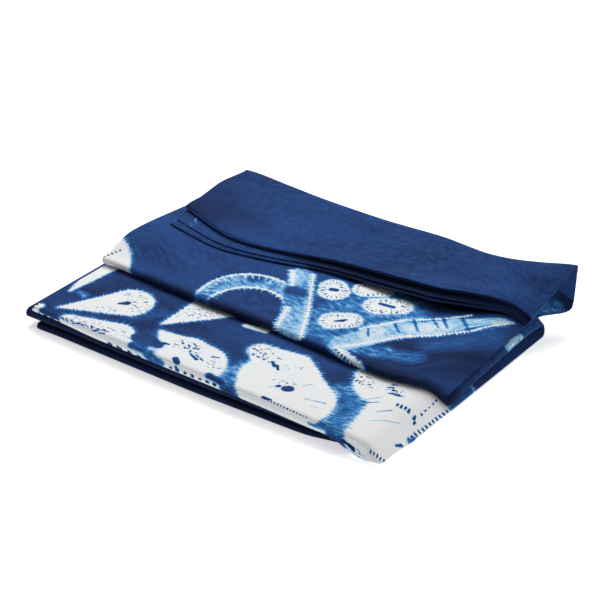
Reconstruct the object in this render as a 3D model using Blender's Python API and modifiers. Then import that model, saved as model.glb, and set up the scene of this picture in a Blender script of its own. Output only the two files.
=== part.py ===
"""A folded indigo tie-dyed cotton tablecloth, modelled as one closed solid.

The cloth lies folded in four across its width, which makes a strip of four sheets. The strip is
folded back and forth into nine passes: six in a lower packet, two in a narrower upper packet, and
a short flap on top that ends in the hems. Metres, +Z up. X runs along the front folds, from left
to right, and Y runs to the back. The underside is flat at Z = 0, and the origin ends up at the
bottom centre of the whole.
"""

import math
from typing import NamedTuple

import bmesh
import bpy
import numpy as np
from mathutils import Vector

# The strip of four sheets. A folded pass of it is a little thinner than its four sheets laid loose.
PASS_THICKNESS = 0.0022
LAYER_GAP = 0.0008
CROSS_STEPS = 22
CROSS_BUNCHING = 0.16
FOLD_STEPS = 5
FOLD_SHARPNESS = 1.0
TUBE_SHARPNESS = 0.55
TUBE_REACH = 0.0045
FRONT_REACH_LIMIT = 0.0045
NAVY_FOLD_SETBACK = 0.001

# The white pass drops to the floor in front of the navy folds where these draw back, to the right.
FRONT_DROP_START = 0.010
FRONT_DROP_END = 0.003

# Round the front fold the white pass stays this much thicker at its right end than behind it.
TIP_RISE = 0.0030
TIP_RISE_START = 0.335
TIP_RISE_END = 0.360
TIP_RISE_FRONT = 0.008
TIP_RISE_BACK = 0.050

# The upper packet is lifted off the lower one a little all over, and most near its right back corner.
UPPER_LIFT = 0.0020
UPPER_LIFT_START = 0.090
UPPER_LIFT_END = 0.130
UPPER_LOOSENESS = 0.0022
CORNER_LIFT = 0.0056
CORNER_LIFT_START = (0.290, 0.100)
CORNER_LIFT_END = (0.360, 0.225)
CORNER_SAG = 0.0032
CORNER_SAG_START = 0.225
CORNER_SAG_END = 0.275

# The upper packet's top sheets stand up along their left end.
LEFT_PUFF = 0.0075
LEFT_PUFF_WIDTH = 0.085
LEFT_PUFF_START = 0.095
LEFT_PUFF_MIDDLE = 0.135
LEFT_PUFF_END = 0.250

# The flap and the pass below it spread to the right towards the open back fold, and draw in at the left.
FLAP_FLARE = 0.014
FLAP_FLARE_START = 0.246
FLAP_FLARE_END = 0.276
FLAP_CORNER_SHIFT = 0.009
FLAP_CORNER_START = 0.238

# Each of the four sheets ends in a turned hem, and the hems fan out at the flap's front.
HEM_REST = 0.0030
HEM_OVERLAP = 0.010
HEM_PROUD = 0.0003
HEM_FOLD_STEPS = 6
HEM_RUN_STEPS = 4
HEM_SQUEEZE_START = 0.25
SLOPE_STEP = 0.0005

CLOTH_COLOR = (0.018, 0.045, 0.165, 1.0)
CLOTH_ROUGHNESS = 0.9


class Section(NamedTuple):
    """One station across the strip: the heights and edges of the folds there, in metres."""

    x: float
    low_top: float
    middle_top: float
    packet_top: float
    navy_front: float
    white_front: float
    upper_front: float
    flap_back: float
    flap_height: float
    hem_front: float
    hem_setback: float
    hem_lift: float


SECTIONS = (
    Section(-0.010, 0.0065, 0.0165, 0.0225, -0.001, -0.001, 0.092, 0.272, 0.0560, 0.172, 0.029, 0.0004),
    Section(0.020, 0.0065, 0.0165, 0.0238, -0.001, -0.002, 0.090, 0.276, 0.0570, 0.164, 0.026, 0.0004),
    Section(0.070, 0.0063, 0.0160, 0.0245, -0.002, -0.004, 0.085, 0.271, 0.0570, 0.159, 0.017, 0.0004),
    Section(0.120, 0.0062, 0.0157, 0.0248, -0.003, -0.005, 0.082, 0.267, 0.0565, 0.164, 0.013, 0.0006),
    Section(0.180, 0.0062, 0.0155, 0.0248, -0.004, -0.006, 0.081, 0.266, 0.0560, 0.173, 0.015, 0.0015),
    Section(0.240, 0.0060, 0.0148, 0.0246, -0.003, -0.007, 0.077, 0.268, 0.0565, 0.171, 0.018, 0.0050),
    Section(0.285, 0.0056, 0.0128, 0.0232, -0.002, -0.007, 0.075, 0.264, 0.0565, 0.172, 0.0175, 0.0090),
    Section(0.310, 0.0053, 0.0117, 0.0216, 0.003, -0.006, 0.077, 0.266, 0.0575, 0.182, 0.018, 0.0075),
    Section(0.335, 0.0052, 0.0114, 0.0192, 0.009, -0.005, 0.084, 0.273, 0.0595, 0.197, 0.015, 0.0030),
    Section(0.345, 0.0052, 0.0114, 0.0160, 0.011, -0.004, 0.089, 0.277, 0.0605, 0.205, 0.0135, 0.0012),
    Section(0.354, 0.0052, 0.0114, 0.0090, 0.013, -0.004, 0.093, 0.281, 0.0612, 0.212, 0.011, 0.0006),
    Section(0.363, 0.0052, 0.0114, 0.0023, 0.013, -0.004, 0.095, 0.283, 0.0618, 0.216, 0.010, 0.0004),
    Section(0.380, 0.0052, 0.0114, 0.0022, 0.013, -0.004, 0.095, 0.284, 0.0620, 0.219, 0.010, 0.0004),
)


class Pass(NamedTuple):
    """One pass of the strip: its ends in X, its far edge in Y, and its steps along Y."""

    left: float
    right: float
    back: float
    steps: int
    front_bunching: float


PASSES = (
    Pass(-0.002, 0.333, 0.243, 2, 1.0),
    Pass(-0.002, 0.333, 0.249, 2, 1.0),
    Pass(-0.015, 0.326, 0.249, 2, 1.0),
    Pass(-0.015, 0.326, 0.246, 2, 1.0),
    Pass(-0.007, 0.342, 0.246, 8, 2.6),
    Pass(-0.004, 0.363, 0.252, 6, 1.5),
    Pass(-0.005, 0.361, 0.252, 5, 1.0),
    Pass(-0.006, 0.358, 0.265, 7, 0.8),
    Pass(0.013, 0.361, 0.265, 7, 1.0),
)
TOP_PASS = 8
UPPER_BOTTOM_PASS = 6
UPPER_TOP_PASS = 7
WHITE_DROP_PASS = 4
LOWER_TOP_PASS = 5


class HemPair(NamedTuple):
    """Two sheets' hems that one fold joins at the right end: its radius, and where the hems lie."""

    name: str
    thickness: float
    radius: float
    squeezed_radius: float
    depth: float
    upper_setback: float
    lower_setback: float


HEM_PAIRS = (
    HemPair("inner_hems", 0.0007, 0.0009, 0.0005, 0.014, 0.65, 0.30),
    HemPair("outer_hems", 0.0009, 0.0024, 0.0010, 0.022, 1.00, 0.00),
)


def smooth_step(low: float, high: float, value: float) -> float:
    """Rises from 0 to 1 between two values, flat at both ends."""
    part = min(1.0, max(0.0, (value - low) / (high - low)))
    return part * part * (3.0 - 2.0 * part)


def section_at(x: float) -> Section:
    """Reads the section table at any X, with smooth slopes between its rows."""
    stations = np.array([row.x for row in SECTIONS])
    x = min(max(x, stations[0]), stations[-1])
    index = min(int(np.searchsorted(stations, x, side="right")) - 1, len(SECTIONS) - 2)
    start, end = SECTIONS[index], SECTIONS[index + 1]
    before = SECTIONS[max(index - 1, 0)]
    after = SECTIONS[min(index + 2, len(SECTIONS) - 1)]
    width = end.x - start.x
    part = (x - start.x) / width
    values = [x]
    for column in range(1, len(start)):
        rise = (end[column] - start[column]) / width
        slope_in = (end[column] - before[column]) / (end.x - before.x)
        slope_out = (after[column] - start[column]) / (after.x - start.x)
        slope_in = limited_slope(slope_in, rise)
        slope_out = limited_slope(slope_out, rise)
        values.append(
            start[column] * (1 + 2 * part) * (1 - part) ** 2
            + end[column] * part**2 * (3 - 2 * part)
            + width * (slope_in * part * (1 - part) ** 2 - slope_out * part**2 * (1 - part))
        )
    return Section(*values)


def limited_slope(slope: float, rise: float) -> float:
    """Keeps a slope from overshooting the rise of the interval that it belongs to."""
    if slope * rise <= 0.0:
        return 0.0
    return math.copysign(min(abs(slope), 2.5 * abs(rise)), rise)


def upper_lift(x: float, y: float) -> float:
    """How far the upper packet stands off the lower one."""
    lift = UPPER_LIFT * smooth_step(UPPER_LIFT_START, UPPER_LIFT_END, y)
    along = smooth_step(CORNER_LIFT_START[0], CORNER_LIFT_END[0], x)
    rise = CORNER_LIFT * smooth_step(CORNER_LIFT_START[1], CORNER_LIFT_END[1], y)
    sag = CORNER_SAG * smooth_step(CORNER_SAG_START, CORNER_SAG_END, y)
    return lift + along * (rise - sag)


def tip_rise(x: float, y: float) -> float:
    """How far the lower packet's top pass stands up round its front fold at the right end."""
    along = smooth_step(TIP_RISE_START, TIP_RISE_END, x)
    return TIP_RISE * along * (1.0 - smooth_step(TIP_RISE_FRONT, TIP_RISE_BACK, y))


def left_puff(x: float, y: float) -> float:
    """How far the top sheets of the upper packet stand up along their left end."""
    rise = smooth_step(LEFT_PUFF_START, LEFT_PUFF_MIDDLE, y)
    fall = smooth_step(LEFT_PUFF_MIDDLE, LEFT_PUFF_END, y)
    return LEFT_PUFF * rise * (1.0 - fall) * (1.0 - smooth_step(0.0, LEFT_PUFF_WIDTH, x))


def pass_height(number: int, x: float, y: float) -> float:
    """Height of the middle of one of the eight full passes, counted from the floor up."""
    here = section_at(x)
    half = PASS_THICKNESS / 2
    if number == 0:
        return half
    if number == 1:
        return here.low_top - half
    if number == 2:
        return here.low_top + LAYER_GAP + half
    if number == 3:
        return here.middle_top - half
    if number == WHITE_DROP_PASS:
        edge = here.navy_front
        share = smooth_step(edge - FRONT_DROP_START, edge - FRONT_DROP_END, y)
        return (here.middle_top + LAYER_GAP) * share + half
    if number == LOWER_TOP_PASS:
        return here.packet_top - half + tip_rise(x, y)
    lower = here.packet_top + LAYER_GAP + upper_lift(x, y) + half
    if number == UPPER_BOTTOM_PASS:
        return lower
    return lower + PASS_THICKNESS + LAYER_GAP + UPPER_LOOSENESS + left_puff(x, y)


def flap_height(x: float, y: float) -> float:
    """Height of the middle of the flap, from the fanned hems up to the back fold."""
    here = section_at(x)
    rest = pass_height(UPPER_TOP_PASS, x, here.hem_front) + PASS_THICKNESS / 2
    hem = rest + HEM_REST + here.hem_lift
    back = here.flap_height - PASS_THICKNESS / 2
    end = back_edge(TOP_PASS, x) - PASS_THICKNESS / 2 - back_reach(TOP_PASS, x)
    part = (y - here.hem_front) / (end - here.hem_front)
    return hem + (back - hem) * part


def flap_flare(across: float, y: float) -> float:
    """How far the top passes shift in X towards the back fold: spread at the right, drawn in at the left."""
    right = FLAP_FLARE * smooth_step(FLAP_FLARE_START, FLAP_FLARE_END, y)
    left = FLAP_CORNER_SHIFT * smooth_step(FLAP_CORNER_START, FLAP_FLARE_END, y)
    return right * across + left * (1.0 - across)


def fold_points(start: tuple, end: tuple, reach: float, sharpness: float) -> list:
    """The points of one fold between two passes, bulging by reach from their ends."""
    points = []
    middle = (start[2] + end[2]) / 2
    half_height = (end[2] - start[2]) / 2
    for step in range(1, FOLD_STEPS):
        angle = math.pi * step / FOLD_STEPS
        share = smooth_step(0.0, 1.0, step / FOLD_STEPS)
        x = start[0] + (end[0] - start[0]) * share
        y = start[1] + (end[1] - start[1]) * share
        out = abs(math.sin(angle)) ** sharpness
        rise = math.copysign(abs(math.cos(angle)) ** sharpness, math.cos(angle))
        points.append((x, y + reach * out, middle - half_height * rise))
    return points


def front_edge(number: int, x: float) -> float:
    """Y of the outermost cloth of the front fold that this pass ends in."""
    here = section_at(x)
    edges = (here.navy_front, here.navy_front + NAVY_FOLD_SETBACK, here.white_front, here.upper_front)
    return edges[number // 2]


def front_reach(number: int, x: float) -> float:
    """How far a front fold bulges past the ends of its two passes."""
    start = 0.0 if number < UPPER_BOTTOM_PASS else UPPER_LIFT_START
    low = pass_height(2 * (number // 2), x, start)
    high = pass_height(2 * (number // 2) + 1, x, start)
    return min(0.5 * (high - low), FRONT_REACH_LIMIT)


def back_edge(number: int, x: float) -> float:
    """Y of the outermost cloth of the back fold that this pass ends in."""
    if number >= UPPER_TOP_PASS:
        return section_at(x).flap_back
    return PASSES[number].back


def back_reach(number: int, x: float) -> float:
    """How far a back fold bulges: tight low down, more where it stands open as a tube."""
    if number >= UPPER_TOP_PASS:
        return TUBE_REACH
    lower = number if number % 2 else number - 1
    y = PASSES[number].back
    return 0.5 * (pass_height(lower + 1, x, y) - pass_height(lower, x, y))


def pass_points(number: int, across: float) -> list:
    """The points of one pass, in the direction in which the strip runs through it."""
    shape = PASSES[number]
    x = shape.left + across * (shape.right - shape.left)
    margin = PASS_THICKNESS / 2
    back = back_edge(number, x) - margin - back_reach(number, x)
    if number == 0:
        back = shape.back
    if number == TOP_PASS:
        front = section_at(x).hem_front + HEM_OVERLAP
    else:
        front = front_edge(number, x) + margin + front_reach(number, x)
    points = []
    for step in range(shape.steps + 1):
        part = step / shape.steps if number % 2 else 1.0 - step / shape.steps
        y = front + (back - front) * part**shape.front_bunching
        spread = flap_flare(across, y) if number >= UPPER_TOP_PASS else 0.0
        height = flap_height(x, y) if number == TOP_PASS else pass_height(number, x, y)
        points.append((x + spread, y, height))
    return points


def strip_line(across: float) -> list:
    """The whole folded strip at one place across its width, from the floor up to the hems."""
    line = pass_points(0, across)
    for number in range(1, len(PASSES)):
        following = pass_points(number, across)
        x = line[-1][0]
        if number % 2:
            reach = -front_reach(number, x)
        else:
            reach = back_reach(number, x)
        sharpness = TUBE_SHARPNESS if number == TOP_PASS else FOLD_SHARPNESS
        line += fold_points(line[-1], following[0], reach, sharpness)
        line += following
    return line


def cross_stations() -> list:
    """Places across the strip, closer together towards the right end, where the cloth drapes."""
    stations = []
    for step in range(CROSS_STEPS + 1):
        part = step / CROSS_STEPS
        stations.append(part + CROSS_BUNCHING * math.sin(math.pi * part) * (0.25 + part))
    return stations


def grid_mesh(name: str, lines: list) -> bpy.types.Object:
    """An open surface through equally long lines of points."""
    mesh = bpy.data.meshes.new(name)
    surface = bmesh.new()
    rows = [[surface.verts.new(point) for point in line] for line in lines]
    for row, following in zip(rows, rows[1:]):
        for index in range(len(row) - 1):
            surface.faces.new((row[index], following[index], following[index + 1], row[index + 1]))
    bmesh.ops.recalc_face_normals(surface, faces=surface.faces)
    surface.to_mesh(mesh)
    surface.free()
    return bpy.data.objects.new(name, mesh)


def thicken(obj: bpy.types.Object, thickness: float) -> None:
    """Gives an open surface its cloth thickness, half to each side."""
    solidify = obj.modifiers.new("Cloth thickness", "SOLIDIFY")
    solidify.thickness = thickness
    solidify.offset = 0.0
    solidify.use_even_offset = False


def hem_fold_path() -> list:
    """Stations round a fold at the right end, each a place across the strip and an angle of the fold."""
    upper = [(station, 0.0) for station in cross_stations()]
    arc = [(1.0, math.pi * step / HEM_FOLD_STEPS) for step in range(1, HEM_FOLD_STEPS)]
    lower = [(station, math.pi) for station in reversed(cross_stations())]
    return upper + arc + lower


def flap_directions(x: float, y: float) -> tuple:
    """Unit vectors at a point of the flap: off its surface, and along it in X."""
    step = SLOPE_STEP
    slope_x = (flap_height(x + step, y) - flap_height(x - step, y)) / (2 * step)
    slope_y = (flap_height(x, y + step) - flap_height(x, y - step)) / (2 * step)
    off = Vector((-slope_x, -slope_y, 1.0)).normalized()
    along = Vector((1.0, 0.0, slope_x)).normalized()
    return off, along


def hem_lines(pair: HemPair) -> list:
    """The lines of one pair of hems: the upper one, round the fold, and back along the lower one."""
    shape = PASSES[TOP_PASS]
    inset = max(each.radius + each.thickness / 2 for each in HEM_PAIRS) - HEM_PROUD
    lines = []
    for station, angle in hem_fold_path():
        x = min(shape.left + station * (shape.right - shape.left), shape.right - inset)
        here = section_at(x)
        turned = smooth_step(0.0, math.pi, angle)
        setback = pair.upper_setback + (pair.lower_setback - pair.upper_setback) * turned
        front = here.hem_front + here.hem_setback * setback
        rear = here.hem_front + here.hem_setback + pair.depth
        line = []
        for step in range(HEM_RUN_STEPS + 1):
            part = step / HEM_RUN_STEPS
            y = front + (rear - front) * part
            squeeze = smooth_step(HEM_SQUEEZE_START, 1.0, part)
            offset = pair.radius + (pair.squeezed_radius - pair.radius) * squeeze
            off, along = flap_directions(x, y)
            middle = Vector((x + flap_flare(station, y), y, flap_height(x, y)))
            line.append(middle + offset * (math.cos(angle) * off + math.sin(angle) * along))
        lines.append(line)
    return lines


def cloth_material() -> bpy.types.Material:
    """Indigo-dyed cotton."""
    material = bpy.data.materials.new("indigo_cotton")
    material.use_nodes = True
    shader = material.node_tree.nodes["Principled BSDF"]
    shader.inputs["Base Color"].default_value = CLOTH_COLOR
    shader.inputs["Roughness"].default_value = CLOTH_ROUGHNESS
    shader.inputs["Metallic"].default_value = 0.0
    return material


def clear_scene() -> None:
    """Removes whatever the scene holds."""
    for obj in list(bpy.data.objects):
        bpy.data.objects.remove(obj, do_unlink=True)


def stand_on_origin(objects: list, bounds_of: bpy.types.Object) -> None:
    """Moves the meshes so that the cloth's bottom centre is the origin."""
    bpy.context.view_layer.update()
    graph = bpy.context.evaluated_depsgraph_get()
    evaluated = bounds_of.evaluated_get(graph)
    corners = np.array([tuple(corner) for corner in evaluated.bound_box])
    low, high = corners.min(axis=0), corners.max(axis=0)
    move = np.array([(low[0] + high[0]) / 2, (low[1] + high[1]) / 2, low[2]])
    for obj in objects:
        for vertex in obj.data.vertices:
            vertex.co.x -= move[0]
            vertex.co.y -= move[1]
            vertex.co.z -= move[2]
        obj.data.update()


def main() -> None:
    """Builds the folded cloth as one solid."""
    clear_scene()
    parts = bpy.data.collections.new("folded_tablecloth")
    helpers = bpy.data.collections.new("joined_hems")
    bpy.context.scene.collection.children.link(parts)
    bpy.context.scene.collection.children.link(helpers)

    cloth = grid_mesh("tablecloth", [strip_line(station) for station in cross_stations()])
    parts.objects.link(cloth)
    thicken(cloth, PASS_THICKNESS)
    cloth.data.materials.append(cloth_material())

    all_hems = []
    for pair in HEM_PAIRS:
        hems = grid_mesh(pair.name, hem_lines(pair))
        helpers.objects.link(hems)
        thicken(hems, pair.thickness)
        hems.hide_render = True
        hems.display_type = "WIRE"
        union = cloth.modifiers.new("Join " + pair.name, "BOOLEAN")
        union.operation = "UNION"
        union.solver = "EXACT"
        union.object = hems
        all_hems.append(hems)
    stand_on_origin([cloth] + all_hems, cloth)
    cloth.data.shade_smooth()


if __name__ == "__main__":
    main()
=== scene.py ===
"""A folded indigo tie-dyed cotton tablecloth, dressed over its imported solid.

The cloth is one sheet. It is folded in four across its width, and the strip that this makes is
folded back and forth into nine passes. The fold table is the solid's own, and its X and Y count
from the lower packet's left front corner. Tables are in millimetres where they say so, and all
other lengths are in metres.
"""

import logging
import math
from dataclasses import dataclass, field
from enum import Enum
from typing import NamedTuple

import bpy
import numpy as np
from mathutils import Color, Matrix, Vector


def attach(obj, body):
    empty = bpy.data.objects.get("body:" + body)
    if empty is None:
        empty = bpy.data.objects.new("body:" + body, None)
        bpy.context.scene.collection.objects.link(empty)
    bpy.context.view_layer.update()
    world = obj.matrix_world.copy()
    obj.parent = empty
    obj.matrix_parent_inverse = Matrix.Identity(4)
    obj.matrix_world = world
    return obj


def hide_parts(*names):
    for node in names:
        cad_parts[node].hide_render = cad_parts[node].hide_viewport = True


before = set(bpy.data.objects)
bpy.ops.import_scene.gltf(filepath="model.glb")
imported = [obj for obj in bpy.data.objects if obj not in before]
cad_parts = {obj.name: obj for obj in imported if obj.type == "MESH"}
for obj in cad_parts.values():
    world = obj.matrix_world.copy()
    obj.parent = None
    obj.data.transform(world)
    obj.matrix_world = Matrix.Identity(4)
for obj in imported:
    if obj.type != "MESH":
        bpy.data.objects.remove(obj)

logging.basicConfig(level=logging.INFO, format="%(message)s")
LOG = logging.getLogger("tablecloth")

Array = np.ndarray

NODE = "tablecloth"
BODY = "root"
TABLE_TO_PART = (-0.1800, -0.1378, 0.0)
MM = 1000.0  # millimetres in a metre
TINY = 1e-12  # keeps a length that is divided by above 0
SCREEN_WHITE = 255.0


class Section(NamedTuple):
    """One station across the strip: the heights and edges of the folds there."""

    x: float
    low_top: float
    middle_top: float
    packet_top: float
    navy_front: float
    white_front: float
    upper_front: float
    flap_back: float
    flap_height: float
    hem_front: float
    hem_setback: float
    hem_lift: float


# In millimetres, from the left end to the right.
SECTION_ROWS = (
    (-10, 6.5, 16.5, 22.5, -1, -1, 92, 272, 56, 172, 29, 0.4),
    (20, 6.5, 16.5, 23.8, -1, -2, 90, 276, 57, 164, 26, 0.4),
    (70, 6.3, 16, 24.5, -2, -4, 85, 271, 57, 159, 17, 0.4),
    (120, 6.2, 15.7, 24.8, -3, -5, 82, 267, 56.5, 164, 13, 0.6),
    (180, 6.2, 15.5, 24.8, -4, -6, 81, 266, 56, 173, 15, 1.5),
    (240, 6, 14.8, 24.6, -3, -7, 77, 268, 56.5, 171, 18, 5),
    (285, 5.6, 12.8, 23.2, -2, -7, 75, 264, 56.5, 172, 17.5, 9),
    (310, 5.3, 11.7, 21.6, 3, -6, 77, 266, 57.5, 182, 18, 7.5),
    (335, 5.2, 11.4, 19.2, 9, -5, 84, 273, 59.5, 197, 15, 3),
    (345, 5.2, 11.4, 16, 11, -4, 89, 277, 60.5, 205, 13.5, 1.2),
    (354, 5.2, 11.4, 9, 13, -4, 93, 281, 61.2, 212, 11, 0.6),
    (363, 5.2, 11.4, 2.3, 13, -4, 95, 283, 61.8, 216, 10, 0.4),
    (380, 5.2, 11.4, 2.2, 13, -4, 95, 284, 62, 219, 10, 0.4),
)
SECTIONS = tuple(Section(*(value / MM for value in row)) for row in SECTION_ROWS)


class Pass(NamedTuple):
    """One pass: its ends in X, its far edge in Y, its steps along Y and their bunching."""

    left: float
    right: float
    back: float
    steps: int
    bunching: float


# From the floor up, in metres.
PASSES = (
    Pass(-0.002, 0.333, 0.243, 8, 1.4),
    Pass(-0.002, 0.333, 0.249, 8, 1.4),
    Pass(-0.015, 0.326, 0.249, 8, 1.4),
    Pass(-0.015, 0.326, 0.246, 8, 1.4),
    Pass(-0.007, 0.342, 0.246, 20, 2.6),
    Pass(-0.004, 0.363, 0.252, 44, 1.2),
    Pass(-0.005, 0.361, 0.252, 10, 1.2),
    Pass(-0.006, 0.358, 0.265, 36, 1.0),
    Pass(0.013, 0.361, 0.265, 24, 1.0),
)


class PassName(int, Enum):
    """The passes, counted from the floor up."""

    FLOOR = 0
    LOWEST_TOP = 1
    SECOND_BOTTOM = 2
    SECOND_TOP = 3
    WHITE_DROP = 4
    LOWER_TOP = 5
    UPPER_BOTTOM = 6
    UPPER_TOP = 7
    FLAP = 8


class DyeZone(Enum):
    """The stretches of the strip that share one origin for the dyed pattern.

    Each has its first and last pass, its offset in V and its dye's number in the cloth's list.
    """

    LOWEST_NAVY = (0, 1, 4.0, 2)
    SECOND_NAVY = (2, 3, 3.0, 2)
    LOWER_PACKET = (4, 5, 0.0, 0)
    UPPER_PACKET = (6, 7, 1.0, 1)
    FLAP = (8, 8, 2.0, 2)


def smooth_step(low: float, high: float, value: Array) -> Array:
    """Rises from 0 to 1 between two values, flat at both ends."""
    part = np.clip((value - low) / (high - low), 0.0, 1.0)
    return part * part * (3.0 - 2.0 * part)


def hump(rise: tuple, fall: tuple, value: Array) -> Array:
    """Rises from 0 to 1 between two values, and falls back to 0 between two others."""
    return smooth_step(*rise, value) * (1.0 - smooth_step(*fall, value))


@dataclass
class SectionTable:
    """The section table as smooth columns that can be read at any X."""

    rows: tuple = SECTIONS
    samples: int = 1200
    slope_limit: float = 2.5
    grid: Array = field(init=False)
    columns: dict = field(init=False)

    def __post_init__(self) -> None:
        """Samples every column once."""
        stations = np.array([row.x for row in self.rows])
        self.grid = np.linspace(stations[0], stations[-1], self.samples)
        self.columns = {
            name: self._column(stations, np.array([getattr(row, name) for row in self.rows]))
            for name in Section._fields[1:]
        }

    def _column(self, stations: Array, values: Array) -> Array:
        """Runs a smooth curve through one column, with slopes that don't overshoot.

        Args:
            stations: X of each row.
            values: The column's value in each row.

        Returns:
            The curve's values over the grid.
        """
        last = len(stations) - 1
        index = np.clip(np.searchsorted(stations, self.grid, side="right") - 1, 0, last - 1)
        before, after = np.maximum(index - 1, 0), np.minimum(index + 2, last)
        width = stations[index + 1] - stations[index]
        part = (self.grid - stations[index]) / width
        rise = (values[index + 1] - values[index]) / width
        slope_in = (values[index + 1] - values[before]) / (stations[index + 1] - stations[before])
        slope_out = (values[after] - values[index]) / (stations[after] - stations[index])
        slope_in = self._limited(slope_in, rise)
        slope_out = self._limited(slope_out, rise)
        return (
            values[index] * (1 + 2 * part) * (1 - part) ** 2
            + values[index + 1] * part**2 * (3 - 2 * part)
            + width * (slope_in * part * (1 - part) ** 2 - slope_out * part**2 * (1 - part))
        )

    def _limited(self, slope: Array, rise: Array) -> Array:
        """Keeps slopes from overshooting the rise of their interval."""
        limited = np.sign(rise) * np.minimum(np.abs(slope), self.slope_limit * np.abs(rise))
        return np.where(slope * rise <= 0.0, 0.0, limited)

    def read(self, name: str, x: Array) -> Array:
        """Reads one column at any X."""
        return np.interp(x, self.grid, self.columns[name])


@dataclass
class FoldedStrip:
    """The middle surface of the folded strip of four sheets, with the solid's own sizes."""

    thickness: float = 0.0022
    gap: float = 0.0008
    fold_steps: int = 8
    tube_sharpness: float = 0.45
    white_sharpness: float = 0.36
    white_droop: float = 0.0016
    tube_reach: float = 0.0045
    front_reach_limit: float = 0.0045
    navy_setback: float = 0.001
    drop_start: float = 0.010
    drop_end: float = 0.003
    tip_rise: float = 0.0030
    upper_lift: float = 0.0020
    looseness: float = 0.0022
    corner_lift: float = 0.0056
    corner_sag: float = 0.0032
    left_puff: float = 0.0075
    flare: float = 0.014
    corner_shift: float = 0.009
    hem_rest: float = 0.0030
    hem_steepness: float = 0.45
    hem_rows: tuple = (0.0, 0.0005, 0.0030, 0.0062, 0.0088, 0.0096)
    floor_setback: float = 0.004
    upper_front: float = 0.090
    upper_rise: tuple = (0.090, 0.130)
    corner_along: tuple = (0.290, 0.360)
    corner_rise: tuple = (0.100, 0.225)
    corner_fall: tuple = (0.225, 0.275)
    puff_rise: tuple = (0.095, 0.135)
    puff_fall: tuple = (0.135, 0.250)
    puff_along: tuple = (0.0, 0.085)
    tip_along: tuple = (0.335, 0.360)
    tip_fall: tuple = (0.008, 0.050)
    flap_flare: tuple = (0.214, 0.276)
    tube_flare: tuple = (0.246, 0.276)
    left_shift: tuple = (0.238, 0.276)
    steep_along: tuple = (0.080, 0.220)
    droop_rise: tuple = (0.010, 0.070)
    droop_fall: tuple = (0.320, 0.345)
    sections: SectionTable = field(default_factory=SectionTable)

    def read(self, name: str, x: Array) -> Array:
        """Reads one column of the section table."""
        return self.sections.read(name, x)

    def lift(self, x: Array, y: Array) -> Array:
        """How far the upper packet stands off the lower one.

        Args:
            x: Places across the strip.
            y: Places along the pass.

        Returns:
            The extra height.
        """
        along = smooth_step(*self.corner_along, x)
        rise = self.corner_lift * smooth_step(*self.corner_rise, y)
        sag = self.corner_sag * smooth_step(*self.corner_fall, y)
        return self.upper_lift * smooth_step(*self.upper_rise, y) + along * (rise - sag)

    def puff(self, x: Array, y: Array) -> Array:
        """How far the top sheets of the upper packet stand up along their left end."""
        swell = hump(self.puff_rise, self.puff_fall, y)
        return self.left_puff * swell * (1.0 - smooth_step(*self.puff_along, x))

    def pass_height(self, number: int, x: Array, y: Array) -> Array:
        """Height of the middle of one of the eight full passes.

        Args:
            number: The pass, counted from the floor up.
            x: Places across the strip.
            y: Places along the pass.

        Returns:
            The heights.
        """
        half = self.thickness / 2
        if number == PassName.FLOOR:
            return half + 0.0 * x
        if number == PassName.LOWEST_TOP:
            return self.read("low_top", x) - half
        if number == PassName.SECOND_BOTTOM:
            return self.read("low_top", x) + self.gap + half
        if number == PassName.SECOND_TOP:
            return self.read("middle_top", x) - half
        if number == PassName.WHITE_DROP:
            edge = self.read("navy_front", x)
            share = smooth_step(0.0, self.drop_start - self.drop_end, y - edge + self.drop_start)
            return (self.read("middle_top", x) + self.gap) * share + half
        if number == PassName.LOWER_TOP:
            tip = smooth_step(*self.tip_along, x) * (1.0 - smooth_step(*self.tip_fall, y))
            return self.read("packet_top", x) - half + self.tip_rise * tip
        lower = self.read("packet_top", x) + self.gap + self.lift(x, y) + half
        if number == PassName.UPPER_BOTTOM:
            return lower
        return lower + self.thickness + self.gap + self.looseness + self.puff(x, y)

    def flap_height(self, x: Array, y: Array) -> Array:
        """Height of the middle of the flap, from the fanned hems up to the back fold.

        Args:
            x: Places across the strip.
            y: Places along the flap.

        Returns:
            The heights.
        """
        front = self.read("hem_front", x)
        rest = self.pass_height(PassName.UPPER_TOP, x, front) + self.thickness / 2
        hem = rest + self.hem_rest + self.read("hem_lift", x)
        back = self.read("flap_height", x) - self.thickness / 2
        end = self.read("flap_back", x) - self.thickness / 2 - self.tube_reach
        return hem + (back - hem) * (y - front) / (end - front)

    def spread(self, number: int, across: Array, y: Array) -> Array:
        """How far the top passes shift in X near the back fold: out at the right, in at the left.

        Args:
            number: The pass, counted from the floor up.
            across: Places across the strip, from 0 to 1.
            y: Places along the pass.

        Returns:
            The shift.
        """
        if number == PassName.FLAP:
            right = self.flare * np.interp(y, self.flap_flare, (0.0, 1.0))
        else:
            right = self.flare * smooth_step(*self.tube_flare, y)
        left = self.corner_shift * smooth_step(*self.left_shift, y)
        return right * across**2 + left * (1.0 - across)

    def hem_edge(self, x: Array, setback: Array) -> Array:
        """Y of one sheet's hem at the flap's front: the hems stand steeper towards the right.

        Args:
            x: Places across the strip.
            setback: The share of the hems' setback that the sheet has.

        Returns:
            The hem's place along the flap.
        """
        steep = 1.0 - self.hem_steepness * smooth_step(*self.steep_along, x)
        share = 1.0 - (1.0 - setback) * steep
        return self.read("hem_front", x) + share * self.read("hem_setback", x)

    def front_edge(self, number: int, x: Array) -> Array:
        """Y of the outermost cloth of the front fold that this pass ends in.

        Args:
            number: The pass, counted from the floor up.
            x: Places across the strip.

        Returns:
            The fold's places along the pass.
        """
        if number < PassName.SECOND_BOTTOM:
            return self.read("navy_front", x)
        if number < PassName.WHITE_DROP:
            return self.read("navy_front", x) + self.navy_setback
        return self.read("white_front" if number < PassName.UPPER_BOTTOM else "upper_front", x)

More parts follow.
